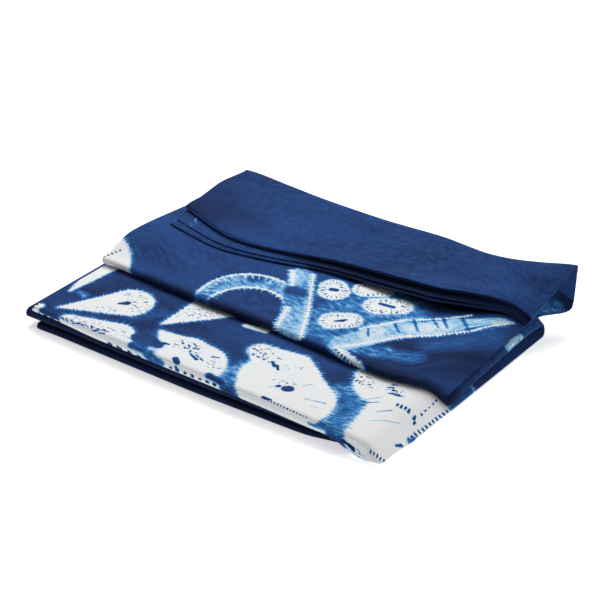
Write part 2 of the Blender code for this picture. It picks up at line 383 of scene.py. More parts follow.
    def front_reach(self, number: int, x: Array) -> Array:
        """How far a front fold bulges past the ends of its two passes.

        Args:
            number: A pass that ends in the fold.
            x: Places across the strip.

        Returns:
            The bulge at each place.
        """
        start = np.full_like(x, 0.0 if number < PassName.UPPER_BOTTOM else self.upper_front)
        low = self.pass_height(2 * (number // 2), x, start)
        high = self.pass_height(2 * (number // 2) + 1, x, start)
        return np.minimum(0.5 * (high - low), self.front_reach_limit)

    def back_edge(self, number: int, x: Array) -> Array:
        """Y of the outermost cloth of the back fold that this pass ends in.

        Args:
            number: The pass, counted from the floor up.
            x: Places across the strip.

        Returns:
            The fold's places along the pass.
        """
        if number >= PassName.UPPER_TOP:
            return self.read("flap_back", x)
        return np.full_like(x, PASSES[number].back)

    def back_reach(self, number: int, x: Array) -> Array:
        """How far a back fold bulges: tight low down, more where it stands open as a tube.

        Args:
            number: A pass that ends in the fold.
            x: Places across the strip.

        Returns:
            The bulge at each place.
        """
        if number >= PassName.UPPER_TOP:
            return np.full_like(x, self.tube_reach)
        lower = number if number % 2 else number - 1
        y = np.full_like(x, PASSES[number].back)
        return 0.5 * (self.pass_height(lower + 1, x, y) - self.pass_height(lower, x, y))

    def pass_line(self, number: int, across: Array, setback: Array) -> Array:
        """The points of one pass at many places across the strip.

        Args:
            number: The pass, counted from the floor up.
            across: Places across the strip, 0 at its left end and 1 at its right end.
            setback: For each place, the share of the hems' setback that its sheet has.

        Returns:
            An array of places by rows by three, in the direction in which the strip runs.
        """
        shape = PASSES[number]
        x = shape.left + across * (shape.right - shape.left)
        margin = self.thickness / 2
        back = self.back_edge(number, x) - margin - self.back_reach(number, x)
        if number == PassName.FLOOR:
            back = np.full_like(x, shape.back) - self.floor_setback * setback
        parts = np.linspace(0.0, 1.0, shape.steps + 1) ** shape.bunching
        if number == PassName.FLAP:
            front = self.hem_edge(x, setback)
            rows = np.array(self.hem_rows)
            rest = front + rows[-1]
            hems = front[:, None] + rows[None, :-1]
            y = np.hstack([hems, rest[:, None] + (back - rest)[:, None] * parts[None, :]])
        else:
            front = self.front_edge(number, x) + margin + self.front_reach(number, x)
            y = front[:, None] + (back - front)[:, None] * parts[None, :]
        if number % 2 == 0:
            y = y[:, ::-1]
        x = np.repeat(x[:, None], y.shape[1], axis=1)
        flap = number == PassName.FLAP
        z = self.flap_height(x, y) if flap else self.pass_height(number, x, y)
        if number >= PassName.UPPER_TOP:
            x = x + self.spread(number, across[:, None], y)
        return np.stack([x, y, z], axis=-1)

    def fold_line(self, number: int, start: Array, end: Array) -> Array:
        """The points between two passes, round the fold that joins them.

        Args:
            number: The pass that the fold leads to.
            start: The last points of the pass before.
            end: The first points of the pass after.

        Returns:
            An array of places by fold steps by three.
        """
        sharp = {PassName.FLAP: self.tube_sharpness, PassName.LOWER_TOP: self.white_sharpness}
        sharpness = sharp.get(number, 1.0)
        x = start[:, 0]
        reach = -self.front_reach(number, x) if number % 2 else self.back_reach(number, x)
        step = np.arange(1, self.fold_steps) / self.fold_steps
        angle = math.pi * step
        share = smooth_step(0.0, 1.0, step)
        out = np.abs(np.sin(angle)) ** sharpness
        rise = np.sign(np.cos(angle)) * np.abs(np.cos(angle)) ** sharpness
        middle = (start[:, 2] + end[:, 2]) / 2
        half = (end[:, 2] - start[:, 2]) / 2
        flat = start[:, None, :2] + (end - start)[:, None, :2] * share[None, :, None]
        flat[..., 1] += reach[:, None] * out[None, :]
        z = middle[:, None] - half[:, None] * rise[None, :]
        if number == PassName.LOWER_TOP:
            hang = hump(self.droop_rise, self.droop_fall, x)
            z -= self.white_droop * hang[:, None] * (out * (1.0 + rise) / 2.0)[None, :]
        return np.concatenate([flat, z[..., None]], axis=-1)

    def lines(self, across: Array, setback: Array) -> Array:
        """The whole strip at many places across it, from the floor up to the hems.

        Args:
            across: Places across the strip.
            setback: For each place, the share of the hems' setback that its sheet has.

        Returns:
            An array of places by rows by three.
        """
        parts = [self.pass_line(0, across, setback)]
        for number in range(1, len(PASSES)):
            following = self.pass_line(number, across, setback)
            parts.append(self.fold_line(number, parts[-1][:, -1], following[:, 0]))
            parts.append(following)
        return np.concatenate(parts, axis=1)

    def row_passes(self) -> tuple:
        """Which pass each row of the strip belongs to, and where each fold's middle row is.

        Returns:
            The pass number of each row, with a fold's first half in the pass before it, and a
            list of each fold's middle row, by the pass that the fold leads to.
        """
        passes, middles = [], [0]
        half = self.fold_steps // 2
        for number, shape in enumerate(PASSES):
            if number:
                passes += [number - 1] * (half - 1) + [number] * (self.fold_steps - half)
                middles.append(len(passes) - (self.fold_steps - half))
            rows = shape.steps + 1
            if number == PassName.FLAP:
                rows += len(self.hem_rows) - 1
            passes += [number] * rows
        return np.array(passes), middles


class Crease(NamedTuple):
    """A soft ridge, or a trough where its height is below 0, along a line on one pass."""

    number: PassName
    start: tuple
    end: tuple
    width: float
    height: float


# In metres, on the top pass of each packet and on the flap.
CREASES = (
    Crease(PassName.LOWER_TOP, (0.020, 0.070), (0.110, 0.040), 0.0060, 0.0005),
    Crease(PassName.LOWER_TOP, (0.110, 0.090), (0.165, 0.040), 0.0070, -0.0005),
    Crease(PassName.LOWER_TOP, (0.190, 0.075), (0.300, 0.012), 0.0060, 0.0005),
    Crease(PassName.LOWER_TOP, (0.270, 0.080), (0.350, 0.050), 0.0050, 0.0006),
    Crease(PassName.UPPER_TOP, (0.050, 0.120), (0.170, 0.150), 0.0080, 0.0006),
    Crease(PassName.UPPER_TOP, (0.245, 0.105), (0.300, 0.140), 0.0035, 0.0007),
    Crease(PassName.UPPER_TOP, (0.290, 0.100), (0.335, 0.150), 0.0035, 0.0007),
    Crease(PassName.UPPER_TOP, (0.020, 0.170), (0.060, 0.110), 0.0080, -0.0006),
    Crease(PassName.FLAP, (0.040, 0.245), (0.190, 0.205), 0.0140, -0.0010),
    Crease(PassName.FLAP, (0.120, 0.255), (0.300, 0.225), 0.0120, 0.0009),
    Crease(PassName.FLAP, (0.240, 0.200), (0.350, 0.240), 0.0090, -0.0008),
    Crease(PassName.FLAP, (0.060, 0.200), (0.330, 0.215), 0.0060, 0.0005),
)

CREASE_FADE = (0.02, 0.98)  # the shares of its length that a crease fades out to


def crease_height(passes: Array, x: Array, y: Array) -> Array:
    """How far the creases lift the cloth.

    Args:
        passes: The pass of every row.
        x: The points' places along the front, stations by rows.
        y: Their places from front to back.

    Returns:
        The lift of every point.
    """
    total = np.zeros_like(x)
    for crease in CREASES:
        start, line = np.array(crease.start), np.subtract(crease.end, crease.start)
        right, up = x - start[0], y - start[1]
        share = np.clip((right * line[0] + up * line[1]) / (line @ line), 0.0, 1.0)
        away = np.hypot(right - share * line[0], up - share * line[1])
        fade = np.sqrt(np.sin(np.pi * np.clip(share, *CREASE_FADE)))
        bump = crease.height * fade * np.exp(-((away / crease.width) ** 2))
        total += bump * (passes == crease.number)
    return total


@dataclass
class SheetPath:
    """The way of the one sheet through the four-fold strip, as stations.

    The sheet starts at a free side hem on the under side, turns round the right end to the outer
    side, turns back at the left end, turns once more inside the first right fold, and ends in the
    second side hem. Offsets are in pitches between sheets.
    """

    outer_steps: int = 58
    inner_steps: int = 20
    outer_fold_steps: int = 8
    inner_fold_steps: int = 4
    bunching: float = 0.16
    least_bunching: float = 0.25
    hem_stations: tuple = (0.0, 0.0016, 0.0090, 0.0225, 0.0250)
    second_start: float = 0.012
    inset_from: float = 0.95
    second_setback: float = 0.90
    third_setback: float = 0.30
    second_hem: float = 1.00
    third_hem: float = -0.75
    outer: float = 1.5
    inner: float = 0.5
    left_bulge: float = -0.5
    right_bulge: float = 0.8

    def run(self, steps: int, start: float = 0.0) -> Array:
        """Places across the strip from left to right, closer together towards the right end.

        Args:
            steps: How many steps they take.
            start: The first place.

        Returns:
            The places, up to 1.
        """
        part = np.linspace(0.0, 1.0, steps + 1)
        places = part + self.bunching * np.sin(np.pi * part) * (self.least_bunching + part)
        return start + (1.0 - start) * places

    def stations(self) -> Array:
        """Every station of the path.

        Returns:
            Rows of place across, share of the hem setback, offset off the strip, offset along it
            and offset off it at the hems.
        """
        rest = self.run(self.outer_steps, self.hem_stations[-1])
        first = np.concatenate([self.hem_stations[:-1], rest])
        top = self.run(self.outer_steps)[::-1]
        second = self.run(self.inner_steps)
        third = self.run(self.inner_steps, self.second_start)[::-1]
        wide = np.arange(1, self.outer_fold_steps) / self.outer_fold_steps
        tight = np.arange(1, self.inner_fold_steps) / self.inner_fold_steps
        setbacks = (self.second_setback, self.third_setback)
        hems = (self.second_hem, self.third_hem)
        out, mid = self.outer, self.inner
        rows = [
            self._flat(first, 0.0, -out, -out),
            self._turn(1.0, wide, (0.0, 1.0), (-out, out), (-out, out), out),
            self._flat(top, 1.0, out, out),
            self._turn(0.0, tight, (1.0, setbacks[0]), (out, mid), (out, hems[0]), self.left_bulge),
            self._flat(second, setbacks[0], mid, hems[0]),
            self._turn(1.0, tight, setbacks, (mid, -mid), hems, self.right_bulge),
            self._flat(third, setbacks[1], -mid, hems[1]),
        ]
        return np.concatenate(rows)

    def _flat(self, across: Array, setback: float, off: float, hem_off: float) -> Array:
        """Stations of one run between two folds, drawn in a little where it nears the right end.

        Args:
            across: Places across the strip.
            setback: The share of the hem setback.
            off: The offset off the strip.
            hem_off: The same at the hems.

        Returns:
            The stations.
        """
        along = -self.outer * smooth_step(self.inset_from, 1.0, across)
        same = np.ones_like(across)
        return np.stack([across, setback * same, off * same, along, hem_off * same], axis=1)

    def _turn(
        self, across: float, part: Array, setback: tuple, off: tuple, hem_off: tuple, bulge: float
    ) -> Array:
        """Stations round one fold.

        Args:
            across: The end of the strip that the fold is at.
            part: The places round the fold, from 0 to 1.
            setback: The share of the hem setback before and after the fold.
            off: The offset off the strip before and after it.
            hem_off: The same at the hems.
            bulge: How far it bulges, in pitches.

        Returns:
            The stations.
        """
        swing = (1.0 - np.cos(np.pi * part)) / 2.0
        along = bulge * np.sin(np.pi * part) - self.outer * across
        back = setback[0] + (setback[1] - setback[0]) * smooth_step(0.0, 1.0, part)
        offs = [before + (after - before) * swing for before, after in (off, hem_off)]
        return np.stack([np.full_like(part, across), back, offs[0], along, offs[1]], axis=1)


@dataclass
class ClothSheet:
    """The whole cotton panel as one closed thin sheet on the folds of the solid."""

    strip: FoldedStrip = field(default_factory=FoldedStrip)
    path: SheetPath = field(default_factory=SheetPath)
    flat_size: tuple = (1.45, 2.10)
    sheet_thickness: float = 0.00036
    hem_thickness: float = 0.00090
    side_hem_thickness: float = 0.00070
    start_hem_thickness: float = 0.00055
    hem_width: float = 0.0092
    pitch: float = 0.00055
    hem_pitch: float = 0.0016
    open_pitch: float = 0.0027
    hem_depth: float = 0.022
    squeeze_start: float = 0.25
    edge_swell: float = 0.00065
    nudge: float = 0.004
    open_rise: tuple = (0.120, 0.240)
    open_fall: tuple = (0.335, 0.360)
    open_loss: float = 0.3
    swell_rise: tuple = (0.0, 0.25)
    swell_fall: tuple = (0.75, 1.0)
    swell_from: float = 0.80

    def centre_lines(self) -> Array:
        """Places every station's line of the sheet's middle surface.

        Returns:
            An array of stations by rows by three, in the table's coordinates.
        """
        across, setback, off, along, hem_off = self.path.stations().T
        lines = self.strip.lines(across, setback)
        before = self.strip.lines(np.clip(across - self.nudge, 0.0, 1.0), setback)
        after = self.strip.lines(np.clip(across + self.nudge, 0.0, 1.0), setback)
        cross = unit(after - before)
        normal = -unit(np.cross(cross, np.gradient(lines, axis=1)))
        passes, _ = self.strip.row_passes()
        lines[..., 2] += crease_height(passes, lines[..., 0], lines[..., 1])
        pitch, fan, loose = self.pitches(across, setback, lines)
        off_strip = off[:, None] * pitch * (1.0 - loose) + hem_off[:, None] * fan * loose
        along_strip = along[:, None] * (pitch * (1.0 - loose) + fan * loose)
        return lines + off_strip[..., None] * normal + along_strip[..., None] * cross

    def pitches(self, across: Array, setback: Array, lines: Array) -> tuple:
        """The distances between sheets, which grow at the edge band's middle and the fanned hems.

        Args:
            across: Each station's place across the strip.
            setback: Each station's share of the hem setback.
            lines: The strip's points at each station.

        Returns:
            The pitch of every point, its pitch at the hems, and how far it counts as hem.
        """
        passes, _ = self.strip.row_passes()
        x, y = lines[..., 0], lines[..., 1]
        start = self.strip.hem_edge(x, setback[:, None])
        rear = self.strip.hem_edge(x, 1.0) + self.hem_depth
        part = (y - start) / (rear - start)
        loose = (1.0 - smooth_step(self.squeeze_start, 1.0, part)) * (passes == PassName.FLAP)
        close = 1.0 - self.open_loss * smooth_step(*self.open_fall, x)
        open_hem = smooth_step(*self.open_rise, x) * close
        fan = self.hem_pitch + (self.open_pitch - self.hem_pitch) * open_hem
        inside = np.flatnonzero(passes == PassName.UPPER_BOTTOM)
        row = np.clip((np.arange(len(passes)) - inside[0]) / (inside[-1] - inside[0]), 0.0, 1.0)
        swell = self.edge_swell * hump(self.swell_rise, self.swell_fall, row)
        pitch = self.pitch + swell * smooth_step(self.swell_from, 1.0, across)[:, None]
        return pitch, fan, loose

    def thicknesses(self, centre: Array) -> Array:
        """The sheet's thickness at every point, with its hems turned twice.

        Args:
            centre: The sheet's middle surface.

        Returns:
            The thickness of every point.
        """
        base, width = self.sheet_thickness, self.hem_width
        along = path_length(centre, axis=1)
        across = path_length(centre, axis=0)
        end = hem_profile(along[:, -1:] - along, width, self.hem_thickness / base)
        start = hem_profile(along, width, self.start_hem_thickness / base)
        side = hem_profile(across, width, self.side_hem_thickness / base)
        other = hem_profile(across[-1:] - across, width, self.side_hem_thickness / base)
        return base * np.maximum.reduce([end, start, side, other])

    def surfaces(self) -> tuple:
        """The sheet's middle, outer and inner surfaces.

        Returns:
            Three arrays of stations by rows by three, the first in the table's coordinates.
        """
        centre = self.centre_lines()
        thickness = self.thicknesses(centre)[..., None]
        normal = unit(np.cross(np.gradient(centre, axis=0), np.gradient(centre, axis=1)))
        half, shift = normal * thickness / 2, np.array(TABLE_TO_PART)
        return centre, centre + half + shift, centre - half + shift

    def build(self) -> bpy.types.Object:
        """Makes the sheet's closed mesh with its two UV maps.

        Returns:
            The sheet.
        """
        centre, outer, inner = self.surfaces()
        obj = shell_mesh("Cotton_sheet", outer, inner)
        self._write_maps(obj.data, centre)
        return obj

    def hem_line(self, seam_depth: float) -> Array:
        """The line on the outer side that runs along the fanned hems, from side hem to side hem.

        Args:
            seam_depth: How far the line is from the cloth's end.

        Returns:
            The line's points in the part's frame.
        """
        centre, outer, _ = self.surfaces()
        along = path_length(centre, axis=1)
        before_end = along - along[:, -1:]
        return np.array(
            [
                [np.interp(-seam_depth, places, row[:, axis]) for axis in range(3)]
                for places, row in zip(before_end, outer)
            ]
        )

    def _write_maps(self, mesh: bpy.types.Mesh, centre: Array) -> None:
        """Writes the cloth's own metres, and the dye's metres from the nearest front fold.

        Args:
            mesh: The shell's mesh.
            centre: The sheet's middle surface.
        """
        across, along = (path_length(centre, axis) for axis in (0, 1))
        passes, middles = self.strip.row_passes()
        index = np.empty(len(mesh.loops), dtype=np.int32)
        mesh.loops.foreach_get("vertex_index", index)
        index %= centre.shape[0] * centre.shape[1]
        station, row = np.divmod(index, centre.shape[1])
        cloth = np.stack([across[station, row], along[station, row]], axis=1)
        dye_x = centre[0, row, 0] + across[station, row]
        last_row = centre.shape[1] - 1
        face_pass = passes[np.minimum(row.reshape(-1, 4).min(axis=1) + 1, last_row)]
        dye_y = np.zeros(len(index))
        dye_number = np.zeros(len(face_pass), dtype=np.int32)
        for zone in DyeZone:
            low, high, offset, number = zone.value
            faces = (face_pass >= low) & (face_pass <= high)
            loops = np.repeat(faces, 4)
            length = along[station, row] - along[station, middles[high]]
            dye_y[loops] = (length + offset)[loops]
            dye_number[faces] = number
        mesh.polygons.foreach_set("material_index", dye_number)
        write_uv(mesh, "cloth", cloth)
        write_uv(mesh, "dye", np.stack([dye_x, dye_y], axis=1))


def unit(vectors: Array) -> Array:
    """Scales vectors to a length of one."""
    return vectors / np.maximum(np.linalg.norm(vectors, axis=-1, keepdims=True), TINY)


def path_length(points: Array, axis: int) -> Array:
    """The length walked along one axis of a grid of points, from 0."""
    steps = np.linalg.norm(np.diff(points, axis=axis, prepend=points.take([0], axis)), axis=-1)
    return np.cumsum(steps, axis=axis)


HEM_STEP = 0.0008  # the width of the step from a hem down to the single sheet
EDGE_ROUND = 0.0006  # how far in from its edge a hem is rounded
EDGE_SHARE = 0.6  # the share of the thickness that is left at the edge


def hem_profile(distance: Array, width: float, share: float) -> Array:
    """How many times as thick as the sheet a hem is, at a distance from its rounded edge."""
    flat = 1.0 + (share - 1.0) * (1.0 - smooth_step(width - HEM_STEP, width, distance))
    return flat * (EDGE_SHARE + (1.0 - EDGE_SHARE) * smooth_step(0.0, EDGE_ROUND, distance))


def linked(name: str, data: bpy.types.ID) -> bpy.types.Object:
    """Makes an object of a mesh, a camera or a light.

    Args:
        name: The object's name.
        data: What it shows.

    Returns:
        The object, linked to the scene.
    """
    obj = bpy.data.objects.new(name, data)
    bpy.context.scene.collection.objects.link(obj)
    return obj


def shell_mesh(name: str, outer: Array, inner: Array) -> bpy.types.Object:
    """A closed shell between two grids of points, with a rim round their edges.

    Args:
        name: The object's name.
        outer: Stations by rows by three, on the side that the grid's normal points to.
        inner: The same on the other side.

    Returns:
        The object, linked to the scene.
    """
    stations, rows = outer.shape[:2]
    grid = np.arange(stations * rows).reshape(stations, rows)
    corners = [grid[:-1, :-1], grid[1:, :-1], grid[1:, 1:], grid[:-1, 1:]]
    quads = np.stack(corners, axis=-1).reshape(-1, 4)
    other = stations * rows
    rim = np.concatenate([grid[0, :-1], grid[:-1, -1], grid[-1, :0:-1], grid[:0:-1, 0]])
    following = np.concatenate([grid[0, 1:], grid[1:, -1], grid[-1, -2::-1], grid[-2::-1, 0]])
    sides = np.stack([rim, following, following + other, rim + other], axis=-1)
    faces = np.concatenate([quads, quads[:, ::-1] + other, sides])
    mesh = bpy.data.meshes.new(name)
    points = np.concatenate([outer.reshape(-1, 3), inner.reshape(-1, 3)])
    mesh.vertices.add(len(points))
    mesh.vertices.foreach_set("co", points.ravel().astype(np.float32))
    mesh.loops.add(faces.size)
    mesh.loops.foreach_set("vertex_index", faces.ravel().astype(np.int32))
    mesh.polygons.add(len(faces))
    mesh.polygons.foreach_set("loop_start", np.arange(0, faces.size, 4, dtype=np.int32))
    mesh.update(calc_edges=True)
    mesh.validate()
    mesh.shade_smooth()
    return linked(name, mesh)


def write_uv(mesh: bpy.types.Mesh, name: str, values: Array) -> None:
    """Stores one UV map, a pair of numbers for each face corner."""
    layer = mesh.uv_layers.new(name=name)
    layer.data.foreach_set("uv", values.astype(np.float32).ravel())


@dataclass
class HemStitches:
    """The row of sewing stitches that holds the turned hem, repeated by Geometry Nodes."""

    seam_depth: float = 0.0082
    pitch: float = 0.0034
    length: float = 0.0024
    width: float = 0.00042
    segments: int = 8
    rings: int = 5
    name: str = "Hem_stitches"

    def tree(self) -> bpy.types.NodeTree:
        """A tree with the inputs Pitch, Length, Width and Thread, which sets a stitch at each step.

        Returns:
            The Geometry Nodes tree.
        """
        tree = bpy.data.node_groups.new(self.name, "GeometryNodeTree")
        for name, kind in (
            ("Geometry", "Geometry"),
            ("Pitch", "Float"),
            ("Length", "Float"),
            ("Width", "Float"),
            ("Thread", "Material"),
        ):
            tree.interface.new_socket(name, in_out="INPUT", socket_type="NodeSocket" + kind)
        tree.interface.new_socket("Geometry", in_out="OUTPUT", socket_type="NodeSocketGeometry")
        graph = Graph(tree)
        given = graph.node("NodeGroupInput").outputs
        curve = graph.node("GeometryNodeMeshToCurve", {"Mesh": given["Geometry"]})
        even = graph.node(
            "GeometryNodeResampleCurve",
            {"Curve": curve.outputs[0], "Length": given["Pitch"]},
            mode="LENGTH",
        )
        size = {"Segments": self.segments, "Rings": self.rings, "Radius": 0.5}
        bead = graph.node("GeometryNodeMeshUVSphere", size)
        tangent = graph.node("GeometryNodeInputTangent").outputs[0]
        turn = graph.node("FunctionNodeAlignRotationToVector", {"Vector": tangent}, axis="X")
        feeds = {
            "Points": even.outputs[0],
            "Instance": bead.outputs["Mesh"],
            "Rotation": turn.outputs[0],
            "Scale": graph.combine(given["Length"], given["Width"], given["Width"]),
        }
        copies = graph.node("GeometryNodeInstanceOnPoints", feeds)
        whole = graph.node("GeometryNodeRealizeInstances", {"Geometry": copies.outputs[0]})
        feeds = {"Geometry": whole.outputs[0], "Material": given["Thread"]}
        dressed = graph.node("GeometryNodeSetMaterial", feeds)
        graph.node("NodeGroupOutput", {0: dressed.outputs[0]})
        return tree

    def build(self, points: Array, thread: bpy.types.Material) -> bpy.types.Object:
        """Sews the line.

        Args:
            points: The line's points in the part's frame.
            thread: The thread's material.

        Returns:
            The stitches as one plain mesh.
        """
        path = bpy.data.meshes.new(self.name)
        edges = [(start, start + 1) for start in range(len(points) - 1)]
        path.from_pydata([tuple(point) for point in points], edges, [])
        obj = linked(self.name, path)
        modifier = obj.modifiers.new("Stitches", "NODES")
        modifier.node_group = self.tree()
        values = dict(Pitch=self.pitch, Length=self.length, Width=self.width, Thread=thread)
        for item in modifier.node_group.interface.items_tree:
            if item.in_out == "INPUT" and item.name in values:
                modifier[item.identifier] = values[item.name]
        view = bpy.context.evaluated_depsgraph_get()
        obj.data = bpy.data.meshes.new_from_object(obj.evaluated_get(view), depsgraph=view)
        obj.modifiers.remove(modifier)
        obj.data.shade_smooth()
        return obj


class Tone(float, Enum):
    """How much of the cotton shows, from the darkest dye, which also serves as painted shade in
    folds, in gaps between layers and under the hems, to bare cloth.
    """

    DEEP = 0.03
    NAVY = 0.20
    BLUE = 0.33
    MID_BLUE = 0.47
    LIGHT_BLUE = 0.66
    PALE = 0.86
    BARE = 1.0


class MarkKind(str, Enum):
    """The ways in which a tied, folded or stitched mark, or a patch of painted shade, shows on the
    cloth.
    """

    FILL = "Resist fill"
    RIM = "Resist rim"
    ROW = "Stitch row"
    SPOKES = "Stitch spokes"
    SEAM = "Stitched_seam"
    SPECKS = "Specks"


class Mark(NamedTuple):
    """One mark on the cloth's colour, most of them dyed and some of them painted shade: a bar from
    start to end with a radius at each end.

    All but the share is in millimetres of the dye map. A row or a seam takes its first radius as
    half its width and its second as its pitch.
    """

    kind: MarkKind
    tone: Tone
    start_x: float
    start_y: float
    end_x: float
    end_y: float
    start_radius: float
    end_radius: float
    edge: float = 2.4
    share: float = 1.0

    def feeds(self) -> dict:
        """What goes into the sockets of its node group.

        Returns:
            Each socket's value in metres, by the socket's name.
        """
        return {
            "Start": (self.start_x / MM, self.start_y / MM, 0.0),
            "End": (self.end_x / MM, self.end_y / MM, 0.0),
            "Start radius": self.start_radius / MM,
            "End radius": self.end_radius / MM,
            "Edge": self.edge / MM,
            "Tone": float(self.tone),
            "Share": self.share,
        }


FILL, RIM, ROW, SPOKES, SEAM, SPECKS = MarkKind
DEEP, NAVY, BLUE, MID_BLUE, LIGHT_BLUE, PALE, BARE = Tone
STROKE_EDGE = 0.8


def strokes(*bars: tuple) -> tuple:
    """Short navy needle strokes, each from its start to its end with its two radii."""
    return tuple((FILL, NAVY, *bar, STROKE_EDGE) for bar in bars)


# Painted shade along the front folds of the two lowest navy packets.
NAVY_FOLD_SHADE = (
    (FILL, DEEP, -20, 3000, 400, 3001, 11, 11, 6, 0.85),
    (FILL, DEEP, -20, 4000, 400, 4001, 11, 11, 6, 0.85),
)

